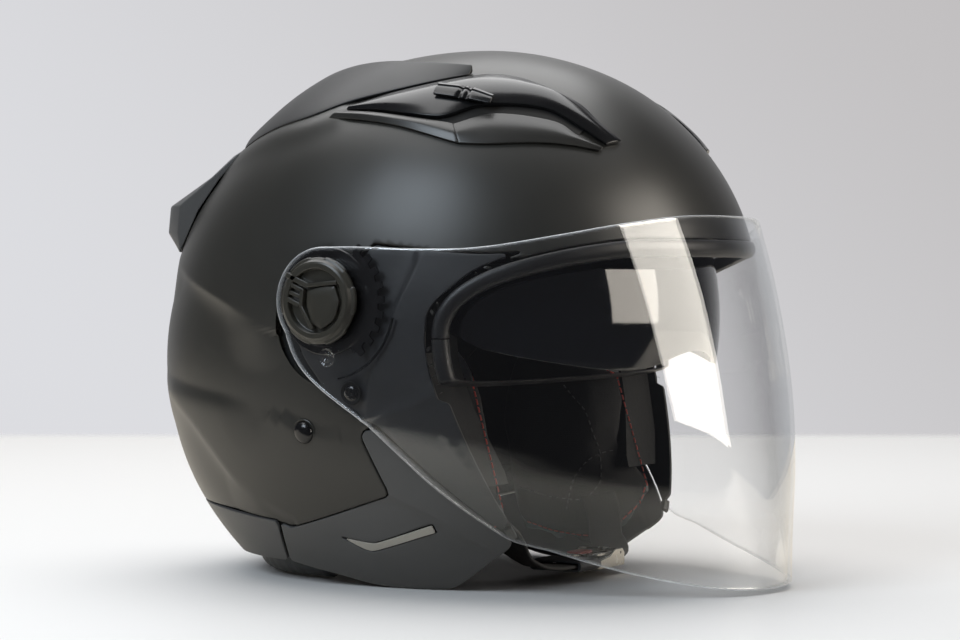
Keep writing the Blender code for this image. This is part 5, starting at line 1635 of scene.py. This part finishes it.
def table_look():
    """White, fading out at its far edge; glossy rays see it in a warmer painted reflection colour, and only
    beside and behind the helmet.
    """
    made = look("white_table", TABLE_COLOUR[:3], 0.5)
    nodes, links = made.node_tree.nodes, made.node_tree.links
    shader = nodes["Principled BSDF"]
    glossy = nodes.new("ShaderNodeLightPath").outputs["Is Glossy Ray"]
    away = reach_along(nodes, links, nodes.new("ShaderNodeTexCoord").outputs["Object"], LOOK_ALONG)
    far_end = climbing(nodes, links, away, (TABLE_BACK - TABLE_FADE) * MM, TABLE_BACK * MM)
    in_front = calculated(nodes, links, "SUBTRACT", 1.0, climbing(nodes, links, away, *MIRRORED_TABLE_START))
    unseen = calculated(nodes, links, "MULTIPLY", in_front, glossy)
    hidden = calculated(nodes, links, "MAXIMUM", unseen, far_end)
    links.new(calculated(nodes, links, "SUBTRACT", 1.0, hidden), shader.inputs["Alpha"])
    # painted reflection: glossy rays see the table's warmer colour
    links.new(mixed_colour(nodes, links, glossy, TABLE_COLOUR, TABLE_PAINTED_REFLECTION), shader.inputs["Base Color"])
    return made


def make_table():
    along = np.array(LOOK_ALONG)
    across = np.array([along[1], -along[0], 0.0])
    corners = [
        along * d + across * w + (0, 0, -0.6) for d, w in (
            (TABLE_FRONT, -TABLE_HALF_WIDTH), (TABLE_FRONT, TABLE_HALF_WIDTH), (TABLE_BACK, TABLE_HALF_WIDTH),
            (TABLE_BACK, -TABLE_HALF_WIDTH))
    ]
    make_object("floor", corners, [(0, 1, 2, 3)], table_look())


def make_world():
    """A pale backdrop; a dim room, brighter behind the helmet, for light and reflections."""
    world = bpy.data.worlds.new("studio")
    world.use_nodes = True
    nodes, links = world.node_tree.nodes, world.node_tree.links
    direction = nodes.new("ShaderNodeTexCoord").outputs["Generated"]
    rays = nodes.new("ShaderNodeLightPath")
    glossy = rays.outputs["Is Glossy Ray"]
    rise = climbing(nodes, links, reach_along(nodes, links, direction, HIGH_RIGHT), *BACKDROP_SPAN)
    seen = nodes["Background"]
    links.new(mixed_colour(nodes, links, rise, BACKDROP_LOW_LEFT, BACKDROP_HIGH_RIGHT), seen.inputs["Color"])
    back = climbing(nodes, links, reach_along(nodes, links, direction, LOOK_ALONG), *BEHIND_SPAN)
    wall = calculated(nodes, links, "MULTIPLY", back, glossy)
    room = mixed_colour(nodes, links, glossy, AMBIENT, MIRRORED_ROOM)
    lighting = nodes.new("ShaderNodeBackground")
    links.new(mixed_colour(nodes, links, wall, room, BEHIND), lighting.inputs["Color"])
    mixed = nodes.new("ShaderNodeMixShader")
    links.new(rays.outputs["Is Camera Ray"], mixed.inputs["Fac"])
    links.new(lighting.outputs["Background"], mixed.inputs[1])
    links.new(seen.outputs["Background"], mixed.inputs[2])
    links.new(mixed.outputs["Shader"], nodes["World Output"].inputs["Surface"])
    bpy.context.scene.world = world
    bpy.context.scene.view_settings.view_transform = "Standard"


def make_lights():
    area_light("overhead", (0.5, 0.55, 2.1), (0.25, 0.3, 0.0), 2.4, 60)
    area_light("window", (-1.5, 0.35, 1.2), (0, 0, 0.18), 0.8, 19, (0.80, 0.90, 1.0), 1.0)
    area_light("front_box", (0.35, -2.0, 0.85), (0, 0, 0.14), 1.3, 48, (1.0, 0.93, 0.83), 1.7, lights_matt=False)


# ================================ assembly =============================================================
def carried_over(looks):
    """CAD nodes whose shape serves as it is get their fine material."""
    slots = {part["node"]: part["material_slot"] for part in frame["record"]["subparts"]}
    for node, obj in frame["nodes"].items():
        obj.data.materials.clear()
        obj.data.materials.append(looks[slots[node]])


def main():
    looks = make_looks()
    carried_over(looks)
    make_camera()
    make_table()
    make_world()
    make_lights()
    make_shell(looks)
    make_panels(looks)
    make_shield(looks)
    make_sun_visor(looks)
    make_gasket(looks)
    make_roof(looks)
    make_spoiler(looks)
    make_pivots(looks)
    make_fasteners(looks)
    make_cheek_pads(looks)
    make_crown_lining(looks)
    make_neck_roll(looks)
    make_chin_strap(looks)
    make_strap_sleeve(looks)
    make_buckle(looks)
    make_ratchet_strip(looks)
    make_visor_slider(looks)
    make_shield_details(looks)


main()
